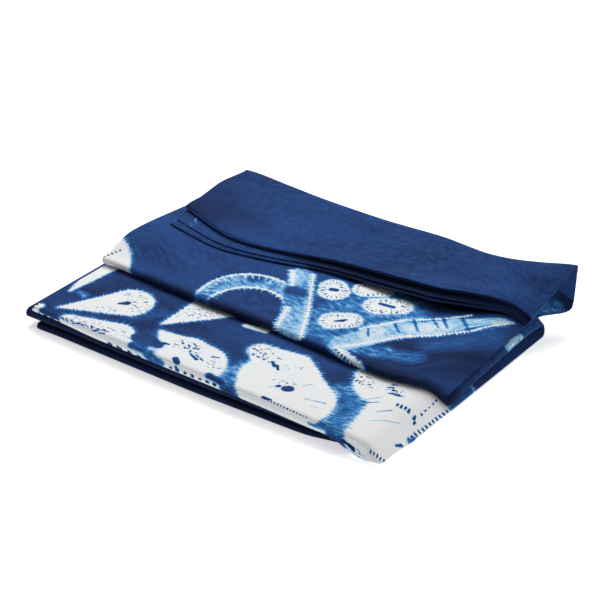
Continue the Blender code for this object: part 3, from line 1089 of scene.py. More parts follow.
# The lower packet: five petals, a pale field at the right and the front fold's face below V = 0.
LOWER_PACKET_MARKS = (
    (FILL, DEEP, 0, 60, 360, 120, 200, 200, 6, 0.22),
    (FILL, BLUE, 112, 15, 120, 33, 7, 7, 9, 0.7),
    (FILL, BLUE, 79, 42, 96, 60, 4, 5, 8, 0.7),
    (FILL, MID_BLUE, 206, 6, 207, 38, 11, 6, 6, 0.95),
    (FILL, MID_BLUE, 300, 54, 319, 12, 15, 11, 6, 0.95),
    (FILL, NAVY, 302, 52, 311, 34, 2, 2, 8, 0.5),
    # the pale field at the right
    (FILL, BARE, 390, 8, 382, 60, 60.5, 62, 3),
    (FILL, BARE, 325, 96, 360, 100, 39, 50, 3),
    (FILL, NAVY, 196, 100, 260, 90, 18, 13, 8),
    # the left end and its corner
    (FILL, BARE, 3, 42, -3, 110, 1, 15),
    (FILL, LIGHT_BLUE, 12, 45, 20.5, 43, 1.2, 2.2, 4, 0.8),
    (FILL, BARE, -4, 0, -1, 6, 5, 4, 3),
    (ROW, NAVY, -5, -4, -2, 13, 1.3, 4.2),
    (ROW, BARE, 2, -2, 30, -3.5, 1.2, 8.5),
    # the first petal and its tied point
    (FILL, BARE, 15.5, 14, 61, 58, 0.6, 22.5),
    *strokes(
        (54.5, 51.5, 60, 56.2, 1, 3), (60, 56.2, 62.8, 59, 2.2, 0.3),
    ),
    (SPECKS, NAVY, 60, 70, 74, 58, 9, 11, 3, 0.9),
    (FILL, MID_BLUE, 49.5, 67, 50.5, 68.5, 1.8, 2, 2, 0.6),
    (SPECKS, BLUE, 33, 27, 56, 39, 4, 8, 3, 0.8),
    # the second petal, along the crease
    (FILL, BARE, 39, 1, 85, 7, 11, 20.5, 2),
    (FILL, BARE, 70, -4, 123, -3, 4, 4.5, 2),
    *strokes(
        (29.7, 3, 32.5, 1.8, 0.7, 0.3), (34.5, 4.2, 36.2, 2, 0.3, 0.7),
        (39.5, 4.6, 44, 3, 0.5, 0.3), (45.6, 3.2, 50, 5.2, 0.3, 0.8),
        (53, 4.8, 57.5, 6.4, 0.7, 0.3), (60.6, 8.4, 64, 6, 0.4, 0.8),
        (66.8, 4, 70.6, 6.2, 0.6, 0.9), (74, 9.8, 77.8, 8.8, 0.9, 0.4), (73, 4, 78.5, 6, 0.3, 0.6),
    ),
    (SPECKS, NAVY, 42, 6, 76, 12, 6, 8, 2),
    (SPECKS, BLUE, 88, 14, 98, 14, 8, 7, 2, 0.8),
    # the third petal, under the packet
    (FILL, BARE, 108, 47.5, 129, 108, 0.6, 25),
    (SPECKS, NAVY, 113, 70, 126, 90, 7, 14, 3, 0.9),
    (FILL, BARE, 168, 89.5, 187, 93, 2.2, 3),
    # the fourth petal
    (FILL, BARE, 116, 37.8, 142, 27, 2, 18),
    (FILL, BARE, 152, 18, 166, 12.5, 28.5, 33),
    (FILL, NAVY, 108, 20, 128, 19, 8, 5, 2.4),
    (FILL, BLUE, 115, 6, 130, 7, 4, 2, 6, 0.8),
    *strokes(
        (130, 24.4, 135, 25.2, 1.2, 0.8), (141.8, 34.8, 144.6, 33.6, 0.7, 0.3),
        (148.6, 35.2, 151.8, 32.6, 0.3, 0.7), (151.4, 39, 155.6, 37.2, 0.6, 0.4),
        (149.4, 28.8, 153, 30.2, 0.8, 0.3), (155.6, 33, 159.8, 34.6, 0.4, 0.8),
        (156, 28.8, 157.2, 26.2, 0.4, 0.6),
    ),
    (SPECKS, NAVY, 150, 33, 160, 31, 8, 7, 2),
    *strokes(
        (159.6, 24.4, 169, 20.6, 0.7, 1.5), (163.4, 26.6, 167.8, 24.8, 0.3, 0.8),
        (170.6, 24, 174.8, 22.2, 0.8, 0.3), (177.2, 31.8, 182.8, 34.7, 0.8, 0.5),
    ),
    (FILL, NAVY, 154.2, 11, 159, 7, 2.6, 2.6, 0.9),
    (SPECKS, NAVY, 139, 36, 142, 28, 5, 5, 2),
    (SPECKS, NAVY, 182, 24, 190, 20, 6, 6, 2, 0.8),
    # the front fold's face
    (FILL, BARE, 146, -2, 204, -3, 4.5, 4.5, 2),
    (ROW, DEEP, 81, -3, 123, -4, 1.8, 11),
    (ROW, DEEP, 150, -2, 208, -1, 2, 7.8),
    (FILL, BLUE, 127, 1, 141, -1, 4, 4.4, 3),
    (FILL, NAVY, 159, 1, 160, -2, 1.4, 1.8, 1),
    (FILL, NAVY, 211, -3.5, 234, -4.5, 4.8, 4.4, 4),
    (FILL, BARE, 246, -2.5, 305, -4, 5, 5, 3),
    (FILL, NAVY, 193, 7, 206, 5, 3.2, 3, 3),
    # the fifth petal
    (FILL, BARE, 204, 64, 233, 55.5, 11, 26.5),
    (FILL, BARE, 242, 40, 261, 19, 34.5, 43),
    (FILL, NAVY, 256.2, 30.4, 258, 31.8, 4, 4.2, 0.9),
    (FILL, NAVY, 247.8, 28.4, 249, 29.8, 1, 1.8, 0.8),
    (SPECKS, NAVY, 241, 34, 256, 40, 4, 4, 2),
    (ROW, NAVY, 196, 64, 212.9, 60.1, 1.3, 4.2),
    (ROW, NAVY, 200, 56, 226.5, 54, 1.2, 6),
    *strokes(
        (222.5, 56.5, 227.5, 52, 1.2, 1.4), (229, 54, 233.5, 49.4, 1.4, 1),
    ),
    (SPECKS, NAVY, 198, 64, 218, 64, 10, 9, 2),
    (SPECKS, NAVY, 236, 56, 248, 64, 4, 4, 2, 0.7),
    (ROW, NAVY, 250, 7.8, 293, 7.4, 1.5, 3.2),
    (FILL, NAVY, 249, 8.6, 256.2, 9.4, 1.6, 0.8, 1),
    (FILL, MID_BLUE, 264.4, 41.8, 269.4, 48.7, 0.2, 0.3, 0.7, 0.8),
    (FILL, NAVY, 276.8, 28, 294.1, 33, 0.2, 0.4, 0.7, 0.8),
    (FILL, MID_BLUE, 286.5, 22.4, 292, 23.8, 0.2, 0.3, 0.7, 0.8),
    (FILL, MID_BLUE, 243.6, 23.1, 245.4, 26.6, 0.2, 0.3, 0.7, 0.8),
    # along the front crease
    (FILL, BLUE, 296, 0.5, 314, 1.5, 1, 2, 3, 0.9),
    (FILL, DEEP, 327, -1.4, 338, -2, 1, 1.8, 1),
    (SPECKS, DEEP, 315, -4, 345, -3, 4, 6, 2),
    # thin painted shade lines: one along the crease, and two on the front face near the tip, for
    # the edges of the stacked layers
    (FILL, MID_BLUE, 30, 0.6, 356, 0.6, 0.1, 0.2, 0.7, 0.5),
    (FILL, NAVY, 245, -6.2, 362, -5, 0.1, 0.3, 0.8, 0.6),
    (FILL, MID_BLUE, 320, -9, 364, -8, 0.1, 0.3, 0.8, 0.6),
    # stitches on the pale field
    (ROW, NAVY, 281, 81, 301, 74.3, 1.6, 4),
    (SPECKS, NAVY, 287, 86, 306, 80, 8, 9, 2),
    *strokes(
        (320, 90, 323.2, 91.8, 0.9, 0.4), (318.6, 84, 322.6, 86.2, 0.4, 0.9),
        (324.4, 83, 327.6, 84.8, 1, 0.4), (324.6, 77.2, 329, 79.6, 0.6, 1.3),
        (331.2, 79.8, 335, 82, 1.2, 0.4),
    ),
    (SPECKS, NAVY, 324, 84, 330, 82, 7, 7, 2),
    *strokes(
        (338.8, 67.6, 338.1, 70.6, 0.4, 0.9), (342, 69, 341.2, 72.2, 0.9, 0.6),
        (345.2, 70.4, 344.6, 73, 0.5, 0.9), (348.6, 71.2, 347.7, 74.6, 1.2, 0.7),
        (355.6, 71.2, 354.8, 74.4, 1.3, 0.8), (359, 67.2, 358.4, 69.4, 0.7, 1.1),
    ),
    (ROW, NAVY, 356.8, 79, 355.2, 106, 1, 6),
    (FILL, MID_BLUE, 314.8, 58.5, 322.5, 68, 0.2, 0.3, 0.7, 0.8),
    (FILL, NAVY, 318.8, 55.3, 325, 61.5, 0.2, 0.4, 0.7, 0.8),
    (FILL, NAVY, 331.1, 49.6, 339.1, 60.4, 0.2, 0.4, 0.7, 0.7),
    (FILL, MID_BLUE, 335.2, 37.7, 351.6, 55.1, 0.2, 0.3, 0.7, 0.8),
    (FILL, MID_BLUE, 323.9, 16.7, 330.4, 16.8, 0.2, 0.4, 0.7, 0.8),
    # the right edge
    (ROW, NAVY, 366.5, 51, 367.8, 113, 2.2, 5),
    (FILL, BLUE, 368, 52, 369, 58, 2, 2, 3),
    (FILL, NAVY, 364, 36, 366.5, 41, 1, 1.6, 1),
    (FILL, BLUE, 367, 120, 366.5, 136, 6, 12, 4),
    (ROW, NAVY, 353, 9, 369, 15, 1.8, 3.6),
)

# The upper packet: the pale corner at the left, a ring, a stitched band, four eyes and a wide band.
UPPER_PACKET_MARKS = (
    (FILL, DEEP, 310, 1030, 370, 1090, 40, 30, 50, 0.35),
    # painted shade inside the open right end of the tube
    (FILL, DEEP, 374, 1196, 386, 1230, 10, 10, 6, 0.75),
    # the pale corner
    (FILL, BARE, -35, 965, -34, 966, 71.5, 71.5, 3),
    (ROW, NAVY, -6, 1003, 3.5, 1020, 1.5, 4),
    # blue blots
    (FILL, MID_BLUE, 227, 1026, 264, 1092, 26, 28, 8, 0.8),
    (FILL, NAVY, 295, 1106, 300, 1116, 6, 6, 4, 0.7),
    (FILL, NAVY, 284, 1006, 296, 1024, 0.3, 0.5, 2, 0.5),
    (FILL, NAVY, 306, 1014, 316, 1038, 0.3, 0.5, 2, 0.5),
    (FILL, MID_BLUE, 228, 1006, 252, 1006, 12, 9, 6, 0.9),
    (FILL, MID_BLUE, 274, 1017, 295, 1027, 4, 8, 4, 0.9),
    (FILL, MID_BLUE, 308, 1030, 319, 1033, 5, 6, 6, 0.8),
    (FILL, BLUE, 321.4, 1053.9, 332, 1064, 6, 6, 9, 0.8),
    (FILL, BLUE, 340, 1070, 356, 1095, 6, 6, 9, 0.7),
    # the ring
    (FILL, LIGHT_BLUE, 152, 1019, 153, 1018, 45.5, 45.5, 3, 0.75),
    (SPOKES, NAVY, 152, 1019, 153, 1018, 42, 42, 4, 0.5),
    (FILL, NAVY, 134.5, 1053.5, 139.2, 1057.5, 3, 3, 5, 0.9),
    (FILL, NAVY, 159, 1008, 160, 1007, 35, 35, 2),
    (RIM, BARE, 152, 1019, 153, 1018, 46.2, 46.2, 1, 0.8),
    (RIM, BARE, 159, 1008, 160, 1007, 37.2, 37.2, 1, 0.8),
    (SPOKES, BARE, 152, 1019, 153, 1018, 49, 49, 6.2, 0.75),
    (SPOKES, BARE, 159, 1008, 160, 1007, 41.5, 41.5, 5.6, 0.75),
    # painted shade along the front roll of the upper packet
    (FILL, DEEP, 55, 993, 390, 994, 10, 11, 8, 0.85),
    # the stitched band
    (FILL, MID_BLUE, 164, 1084, 212, 1005, 10, 11, 3),
    (FILL, LIGHT_BLUE, 160, 1090, 168, 1078, 7, 6, 6, 0.8),
    (FILL, LIGHT_BLUE, 198, 1031, 213, 1006, 7, 8, 8, 0.8),
    (FILL, NAVY, 174.5, 1057, 188, 1060, 5.5, 5.5, 3),
    (SEAM, BARE, 152, 1088, 170, 1064, 3.6, 2.9),
    (SEAM, BARE, 187.5, 1034, 200, 1000, 4, 2.9),
    (SEAM, BARE, 171.6, 1093, 205.6, 1040.3, 3.4, 2.9),
    (SEAM, BARE, 205.6, 1040.3, 226.2, 1001, 3.6, 2.9),
    # the wide band and its slits
    (FILL, LIGHT_BLUE, 260, 1018, 285, 1060, 10.5, 11, 2),
    (FILL, LIGHT_BLUE, 285, 1060, 320, 1096, 11, 10.5, 2),
    (FILL, LIGHT_BLUE, 320, 1096, 356, 1124, 10, 1.4, 2),
    (FILL, PALE, 270, 1038, 276, 1050, 4, 4, 6, 0.9),
    (FILL, PALE, 293, 1070, 312, 1088, 4, 6, 6, 0.9),
    (SEAM, BARE, 259.2, 1042.2, 281.9, 1080.2, 2.4, 2.8),
    (SEAM, BARE, 281.9, 1080.2, 323.5, 1117.1, 2.2, 2.8),
    (SEAM, BARE, 258, 1008, 296.6, 1057.7, 3, 3),
    (SEAM, BARE, 296.6, 1057.7, 336.6, 1090.8, 3, 3),
    (SEAM, BARE, 336.6, 1090.8, 354.5, 1120, 2.2, 2.8),
    (FILL, LIGHT_BLUE, 257, 1009, 288, 998, 5.2, 4.4, 3),
    (SEAM, BARE, 257, 1010, 288, 1000, 4.6, 3.6),
    (ROW, NAVY, 260, 1006, 286, 997, 1.6, 4),
    (FILL, NAVY, 265, 1048, 271.5, 1039, 0.6, 0.2, 1.6, 0.8),
    (FILL, NAVY, 278.6, 1068.7, 289, 1059.2, 0.7, 0.2, 1.6, 0.9),
    (FILL, NAVY, 287, 1085, 300, 1071.2, 0.9, 0.2, 1.8, 0.9),
    (FILL, NAVY, 299, 1096, 311, 1085, 0.6, 0.2, 1.6, 0.7),
    (FILL, NAVY, 306, 1101, 317, 1088, 0.8, 0.2, 1.6, 0.9),
    (FILL, NAVY, 319.2, 1107.9, 335, 1090, 0.9, 0.3, 1.8, 0.9),
    (SPECKS, BLUE, 272, 1042, 330, 1102, 8, 8, 2, 0.4),
    # the eyes
    (FILL, BARE, 200, 1085, 204.5, 1079.6, 12.5, 14.5),
    (SPOKES, NAVY, 200, 1085, 204.5, 1079.6, 12.5, 14.5, 4.5),
    (FILL, NAVY, 201.2, 1080.6, 205.4, 1082.3, 2.6, 2.4, 0.9),
    (FILL, BARE, 225, 1099, 237, 1108, 11, 11),
    (SPOKES, NAVY, 225, 1099, 237, 1108, 11, 11, 4),
    (FILL, BARE, 250, 1083.5, 265.2, 1095, 12.5, 11.5),
    (SPOKES, NAVY, 250, 1083.5, 265.2, 1095, 12.5, 11.5, 4),
    (FILL, NAVY, 249.5, 1088.1, 261.7, 1090.7, 1.8, 2, 0.9),
    (FILL, NAVY, 266.8, 1097.2, 268.6, 1098, 1, 0.5, 0.9),
    (FILL, BARE, 232.8, 1039.2, 245, 1049, 11.5, 10.5),
    (SPOKES, NAVY, 232.8, 1039.2, 245, 1049, 11.5, 10.5, 3.5),
    (FILL, NAVY, 234.9, 1039.8, 240.5, 1045, 0.6, 1.7, 0.9),
    (FILL, NAVY, 241, 1046.8, 242.8, 1047.8, 0.8, 0.4, 0.9),
    # the shade under the hems
    (FILL, DEEP, 190, 1108.5, 299.6, 1124, 1, 3.2, 1.6, 0.9),
    (FILL, DEEP, 299.6, 1124, 362, 1133, 3.2, 3, 1.6, 0.9),
    # the right edges
    (FILL, LIGHT_BLUE, 370, 880, 370, 901, 2.2, 3, 2),
    (FILL, BLUE, 369, 850, 370, 875, 2, 2.2, 3, 0.8),
    (SPECKS, BARE, 370, 884, 370, 896, 4, 4, 2),
    (FILL, MID_BLUE, 360, 1162, 368, 1180, 5, 6, 4, 0.7),
    (SPECKS, LIGHT_BLUE, 360, 1162, 368, 1180, 6, 6, 2, 0.8),
)

# The hems of the plain half: painted shade at the flap's left end, where the sheets turn, and on
# the three lower hems, and the hems rubbed pale at their left ends.
HEM_SHADE_AND_WEAR = (
    (FILL, DEEP, 735, 2120, 725, 2400, 20, 20, 80, 0.65),
    (FILL, DEEP, 170, 2096, 370, 2086, 6, 6, 4, 0.8),
    (FILL, DEEP, 880, 2090, 1330, 2088, 14, 14, 30, 0.8),
    (SPECKS, LIGHT_BLUE, 13, 2095, 13.6, 2135, 5, 6, 1.4, 0.6),
    (SPECKS, LIGHT_BLUE, 1469, 2095, 1469, 2125, 5, 6, 1.4, 0.7),
)

# In the order of the numbers that the dye zones give.
DYES = {
    "Indigo_lower_packet": LOWER_PACKET_MARKS,
    "Indigo_upper_packet": UPPER_PACKET_MARKS,
    "Indigo_plain": NAVY_FOLD_SHADE + HEM_SHADE_AND_WEAR,
}

AXIS_X, AXIS_Y, AXIS_Z = (1.0, 0.0, 0.0), (0.0, 1.0, 0.0), (0.0, 0.0, 1.0)
WHITE = (1.0, 1.0, 1.0, 1.0)


class Graph:
    """Adds nodes to one node tree and wires them."""

    def __init__(self, tree: bpy.types.NodeTree) -> None:
        """Keeps the tree that the nodes go into."""
        self.tree = tree

    def node(self, kind: str, feeds: dict | None = None, **settings: object) -> bpy.types.Node:
        """Adds a node.

        Args:
            kind: The node's type.
            feeds: What goes into its inputs, by name or number.
            **settings: Its own properties.

        Returns:
            The node.
        """
        made = self.tree.nodes.new(kind)
        for name, value in settings.items():
            setattr(made, name, value)
        self.feed(made, feeds or {})
        return made

    def feed(self, node: bpy.types.Node, feeds: dict) -> None:
        """Wires sockets and terms into a node's inputs, and sets numbers on them.

        Args:
            node: The node.
            feeds: What goes into its inputs, by name or number.
        """
        for key, value in feeds.items():
            value = value.socket if isinstance(value, Term) else value
            if isinstance(value, bpy.types.NodeSocket):
                self.tree.links.new(value, node.inputs[key])
            else:
                node.inputs[key].default_value = value

    def math(self, operation: str, *values: object) -> "Term":
        """A Math node on up to three values."""
        feeds = dict(enumerate(values))
        return Term(self, self.node("ShaderNodeMath", feeds, operation=operation).outputs[0])

    def vector(self, operation: str, *values: object) -> "Term":
        """A Vector Math node that gives a vector."""
        node = self.node("ShaderNodeVectorMath", dict(enumerate(values)), operation=operation)
        return Term(self, node.outputs["Vector"])

    def length(self, vector: object) -> "Term":
        """A vector's length."""
        node = self.node("ShaderNodeVectorMath", {0: vector}, operation="LENGTH")
        return Term(self, node.outputs["Value"])

    def dot(self, first: object, second: object) -> "Term":
        """The dot product of two vectors."""
        node = self.node("ShaderNodeVectorMath", {0: first, 1: second}, operation="DOT_PRODUCT")
        return Term(self, node.outputs["Value"])

    def combine(self, x: object, y: object, z: object) -> "Term":
        """A vector of three values."""
        return Term(self, self.node("ShaderNodeCombineXYZ", {0: x, 1: y, 2: z}).outputs[0])

    def bearing(self, vector: object) -> "Term":
        """The angle at which a flat vector points, in radians."""
        up, right = (self.dot(vector, axis) for axis in (AXIS_Y, AXIS_X))
        return self.math("ARCTAN2", up, right)

    def noise(self, place: object, scale: float, detail: float, roughness: float = 0.5) -> "Term":
        """A noise value from 0 to 1 over a flat place.

        Args:
            place: The place.
            scale: How many times the noise changes in a unit, roughly.
            detail: How many finer layers it has.
            roughness: How much the finer layers count.

        Returns:
            The value.
        """
        feeds = {"Vector": place, "Scale": scale, "Detail": detail, "Roughness": roughness}
        node = self.node("ShaderNodeTexNoise", feeds, noise_dimensions="2D")
        return Term(self, node.outputs[0])

    def woven(self, place: object, across: float, along: float, *settings: float) -> "Term":
        """A noise value drawn out along the threads, with its own scale across and along them."""
        return self.noise(self.vector("MULTIPLY", place, (across, along, 1.0)), 1.0, *settings)

    def ripple(self, value: object, detail: float) -> "Term":
        """A noise value from 0 to 1 along one number.

        Args:
            value: The number.
            detail: How many finer layers the noise has.

        Returns:
            The value.
        """
        feeds = {"W": value, "Scale": 1.0, "Detail": detail, "Roughness": 0.5}
        node = self.node("ShaderNodeTexNoise", feeds, noise_dimensions="1D")
        return Term(self, node.outputs[0])

    def held(self, value: object) -> "Term":
        """A value kept from 0 to 1, by two Math nodes, which take little of the shader's room."""
        return self.math("MINIMUM", self.math("MAXIMUM", value, 0.0), 1.0)

    def ease(self, value: object, low: object, high: object) -> "Term":
        """Rises evenly from 0 to 1 between two values."""
        span = self.math("SUBTRACT", high, low)
        return self.held(self.math("SUBTRACT", value, low) / span)

    def window(self, value: object, rise: tuple, fall: tuple) -> "Term":
        """Rises evenly from 0 to 1 between two values, and falls back between two others."""
        return self.ease(value, *rise) * (1.0 - self.ease(value, *fall))

    def blend(self, low: object, high: object, share: object) -> "Term":
        """A mix of two values.

        Args:
            low: The value where share is 0.
            high: The value where it is 1.
            share: The share of high.

        Returns:
            The mix.
        """
        feeds = {"Factor": share, "A": low, "B": high}
        node = self.node("ShaderNodeMix", feeds, data_type="FLOAT", clamp_factor=True)
        return Term(self, node.outputs["Result"])


class Term:
    """A node's output that takes part in sums."""

    def __init__(self, graph: Graph, socket: bpy.types.NodeSocket) -> None:
        """Keeps the output and the graph that it belongs to."""
        self.graph = graph
        self.socket = socket

    def __add__(self, other: object) -> "Term":
        """A sum."""
        return self.graph.math("ADD", self, other)

    def __sub__(self, other: object) -> "Term":
        """A difference."""
        return self.graph.math("SUBTRACT", self, other)

    def __rsub__(self, other: object) -> "Term":
        """A difference, from a number."""
        return self.graph.math("SUBTRACT", other, self)

    def __mul__(self, other: object) -> "Term":
        """A product."""
        return self.graph.math("MULTIPLY", self, other)

    def __truediv__(self, other: object) -> "Term":
        """A quotient."""
        return self.graph.math("DIVIDE", self, other)


@dataclass(frozen=True)
class MarkSizes:
    """How ragged and how even the marks are, in metres or as shares of a mark's own sizes."""

    tooth: float = 0.0014
    tooth_depth: float = 0.0019
    tooth_grain: float = 0.5
    seed_scale: float = 900.0
    full_radius: float = 0.0200
    core_start: float = -0.35
    halo: float = 0.0046
    halo_teeth: float = 0.0036
    halo_share: float = 0.38
    rim_edge: tuple = (0.75, 1.25)
    rim_fade: float = 0.0008
    spoke_pitch: float = 1.15
    spoke_change: float = 1.4
    spoke_sway: float = 1.2
    spoke_rise: tuple = (0.05, 0.16)
    spoke_fall: tuple = (0.26, 0.42)
    spoke_length: tuple = (1.7, 0.25)
    spoke_depth: float = 0.9
    spoke_grain: float = 2.0
    spoke_end: tuple = (0.7, 0.0004)
    row_sway: float = 0.32
    row_rise: tuple = (0.08, 0.22)
    row_fall: tuple = (0.52, 0.72)
    row_change: float = 0.8
    row_grain: float = 0.9
    row_width: tuple = (1.3, 0.30)
    row_edge: tuple = (0.5, 1.2)
    row_end: float = 0.0005
    seam_width: float = 0.0010
    seam_glow: float = 0.0060
    glow_share: float = 0.40
    speck_edge: tuple = (-0.004, 0.0015)


class MarkGraph(Graph):
    """The node group of one kind of mark, which lays it over the level of bare cotton so far."""

    VECTORS = ("Point", "Start", "End")
    NUMBERS = ("Level", "Start radius", "End radius", "Edge", "Tone", "Share", "Grain", "Speck")

    def __init__(self, kind: MarkKind) -> None:
        """Builds the group.

        Args:
            kind: The kind of mark.
        """
        super().__init__(bpy.data.node_groups.new(kind.value, "ShaderNodeTree"))
        self.sizes = MarkSizes()
        sockets = self.tree.interface
        for name in self.VECTORS:
            sockets.new_socket(name, in_out="INPUT", socket_type="NodeSocketVector")
        for name in self.NUMBERS:
            sockets.new_socket(name, in_out="INPUT", socket_type="NodeSocketFloat")
        sockets.new_socket("Level", in_out="OUTPUT", socket_type="NodeSocketFloat")
        given = self.node("NodeGroupInput").outputs
        self.given = {name: Term(self, given[name]) for name in self.VECTORS + self.NUMBERS}
        self.offset = self.vector("SUBTRACT", given["Point"], given["Start"])
        self.line = self.vector("SUBTRACT", given["End"], given["Start"])
        mask = getattr(self, kind.name.lower())() * given["Share"]
        self.node("NodeGroupOutput", {"Level": self.blend(given["Level"], given["Tone"], mask)})

    def bar(self) -> tuple:
        """How far a point is outside the mark's bar, and where it is round the bar's outline.

        Returns:
            The distance and the place round the outline, both in metres.
        """
        reach = self.dot(self.offset, self.line)
        share = self.held(reach / self.dot(self.line, self.line))
        feeds = {0: self.line, "Scale": share}
        nearest = self.node("ShaderNodeVectorMath", feeds, operation="SCALE").outputs[0]
        beside = self.vector("SUBTRACT", self.offset, nearest)
        radius = self.blend(self.given["Start radius"], self.given["End radius"], share)
        round_end = self.bearing(beside) * self.given["End radius"]
        place = round_end + share * self.length(self.line)
        return self.length(beside) - radius, place

    def size(self) -> Term:
        """The share of full ragged edges that a mark of this radius gets."""
        return self.math("MINIMUM", self.given["End radius"] / self.sizes.full_radius, 1.0)

    def teeth(self, place: Term) -> Term:
        """The ragged teeth that the bound folds leave square to the outline.

        Args:
            place: The place round the outline.

        Returns:
            Their depth, from -1 to 1.
        """
        seed = self.dot(self.given["End"], AXIS_X) * self.sizes.seed_scale
        ripple = self.ripple(place / self.sizes.tooth + seed, 0.0) * 2.0 - 1.0
        return (ripple + self.given["Grain"] * self.sizes.tooth_grain) * self.size()

    def fill(self) -> Term:
        """The inside of the bar, with a ragged edge that fades outwards.

        Returns:
            The mask.
        """
        sizes, edge = self.sizes, self.given["Edge"]
        distance, place = self.bar()
        teeth = self.teeth(place)
        ragged = distance + teeth * sizes.tooth_depth
        core = 1.0 - self.ease(ragged, edge * sizes.core_start, edge)
        halo = 1.0 - self.ease(distance + teeth * sizes.halo_teeth, 0.0, sizes.halo)
        return self.math("MAXIMUM", core, halo * self.size() * sizes.halo_share)

    def rim(self) -> Term:
        """A band along the bar's outline.

        Returns:
            The mask.
        """
        edge, (inner, outer) = self.given["Edge"], self.sizes.rim_edge
        distance, place = self.bar()
        ragged = self.math("ABSOLUTE", distance) + self.teeth(place) * self.sizes.tooth_depth
        return 1.0 - self.ease(ragged, edge * inner, edge * outer + self.sizes.rim_fade)

    def spokes(self) -> Term:
        """Uneven stitches that stand round inside the bar's outline, up to twice the edge long.

        Returns:
            The mask.
        """
        sizes, edge, grain = self.sizes, self.given["Edge"], self.given["Grain"]
        distance, place = self.bar()
        steps = place / (edge * sizes.spoke_pitch)
        lively = self.ripple(steps * sizes.spoke_change, 1.0)
        phase = self.math("FRACT", steps + grain * sizes.spoke_sway)
        longest, loss = sizes.spoke_length
        length = edge * (lively * longest - loss)
        aside = distance + edge * sizes.spoke_depth + edge * grain * sizes.spoke_grain
        share, fade = sizes.spoke_end
        end = self.ease(self.math("ABSOLUTE", aside), length * share, length + fade)
        return self.window(phase, sizes.spoke_rise, sizes.spoke_fall) * (1.0 - end)

    def stitches(self) -> tuple:
        """Short stitches across a line, half width and pitch given by the radii.

        Returns:
            The stitches, the distance from the line in metres and where the line runs.
        """
        sizes, grain, width = self.sizes, self.given["Grain"], self.given["Start radius"]
        length = self.length(self.line)
        reach = self.dot(self.offset, self.line) / length
        turned = self.vector("CROSS_PRODUCT", self.offset, self.line)
        aside = self.dot(turned, AXIS_Z) / length
        steps = reach / self.given["End radius"]
        dash = self.window(
            self.math("FRACT", steps + grain * sizes.row_sway), sizes.row_rise, sizes.row_fall
        )
        lively = self.ripple(steps * sizes.row_change + length * sizes.seed_scale, 1.0)
        near = self.math("ABSOLUTE", aside + grain * width * sizes.row_grain)
        change, least = sizes.row_width
        limit = width * (lively * change + least)
        inner, outer = sizes.row_edge
        across = 1.0 - self.ease(near, limit * inner, limit * outer)
        end = sizes.row_end
        inside = self.window(reach, (-end, end), (length - end, length + end))
        return dash * across, near, inside

    def row(self) -> Term:
        """A row of separate stitches."""
        dash, _, inside = self.stitches()
        return dash * inside

    def seam(self) -> Term:
        """Stitches joined by the thin line that they are drawn up along, in a soft glow.

        Returns:
            The mask.
        """
        dash, near, inside = self.stitches()
        thread = 1.0 - self.ease(near, self.sizes.seam_width * 0.5, self.sizes.seam_width)
        glow = (1.0 - self.ease(near, 0.0, self.sizes.seam_glow)) * self.sizes.glow_share
        return self.math("MAXIMUM", self.math("MAXIMUM", dash, thread), glow) * inside

    def specks(self) -> Term:
        """Scattered short specks, thinning out towards the bar's edge."""
        distance, _ = self.bar()
        return (1.0 - self.ease(distance, *self.sizes.speck_edge)) * self.given["Speck"]


def dye_colour(red: int, green: int, blue: int) -> tuple:
    """A colour as it looks on a screen, from 0 to 255, in the renderer's linear values."""
    screen = Color((red / SCREEN_WHITE, green / SCREEN_WHITE, blue / SCREEN_WHITE))
    return (*screen.from_srgb_to_scene_linear(), 1.0)


def principled(name: str, feeds: dict) -> tuple:
    """Makes a material.

    Args:
        name: Its name.
        feeds: What goes into its shader's inputs.

    Returns:
        The material, its graph and its shader.
    """
    material = bpy.data.materials.new(name)
    material.use_nodes = True
    graph = Graph(material.node_tree)
    shader = material.node_tree.nodes["Principled BSDF"]
    graph.feed(shader, feeds)
    return material, graph, shader


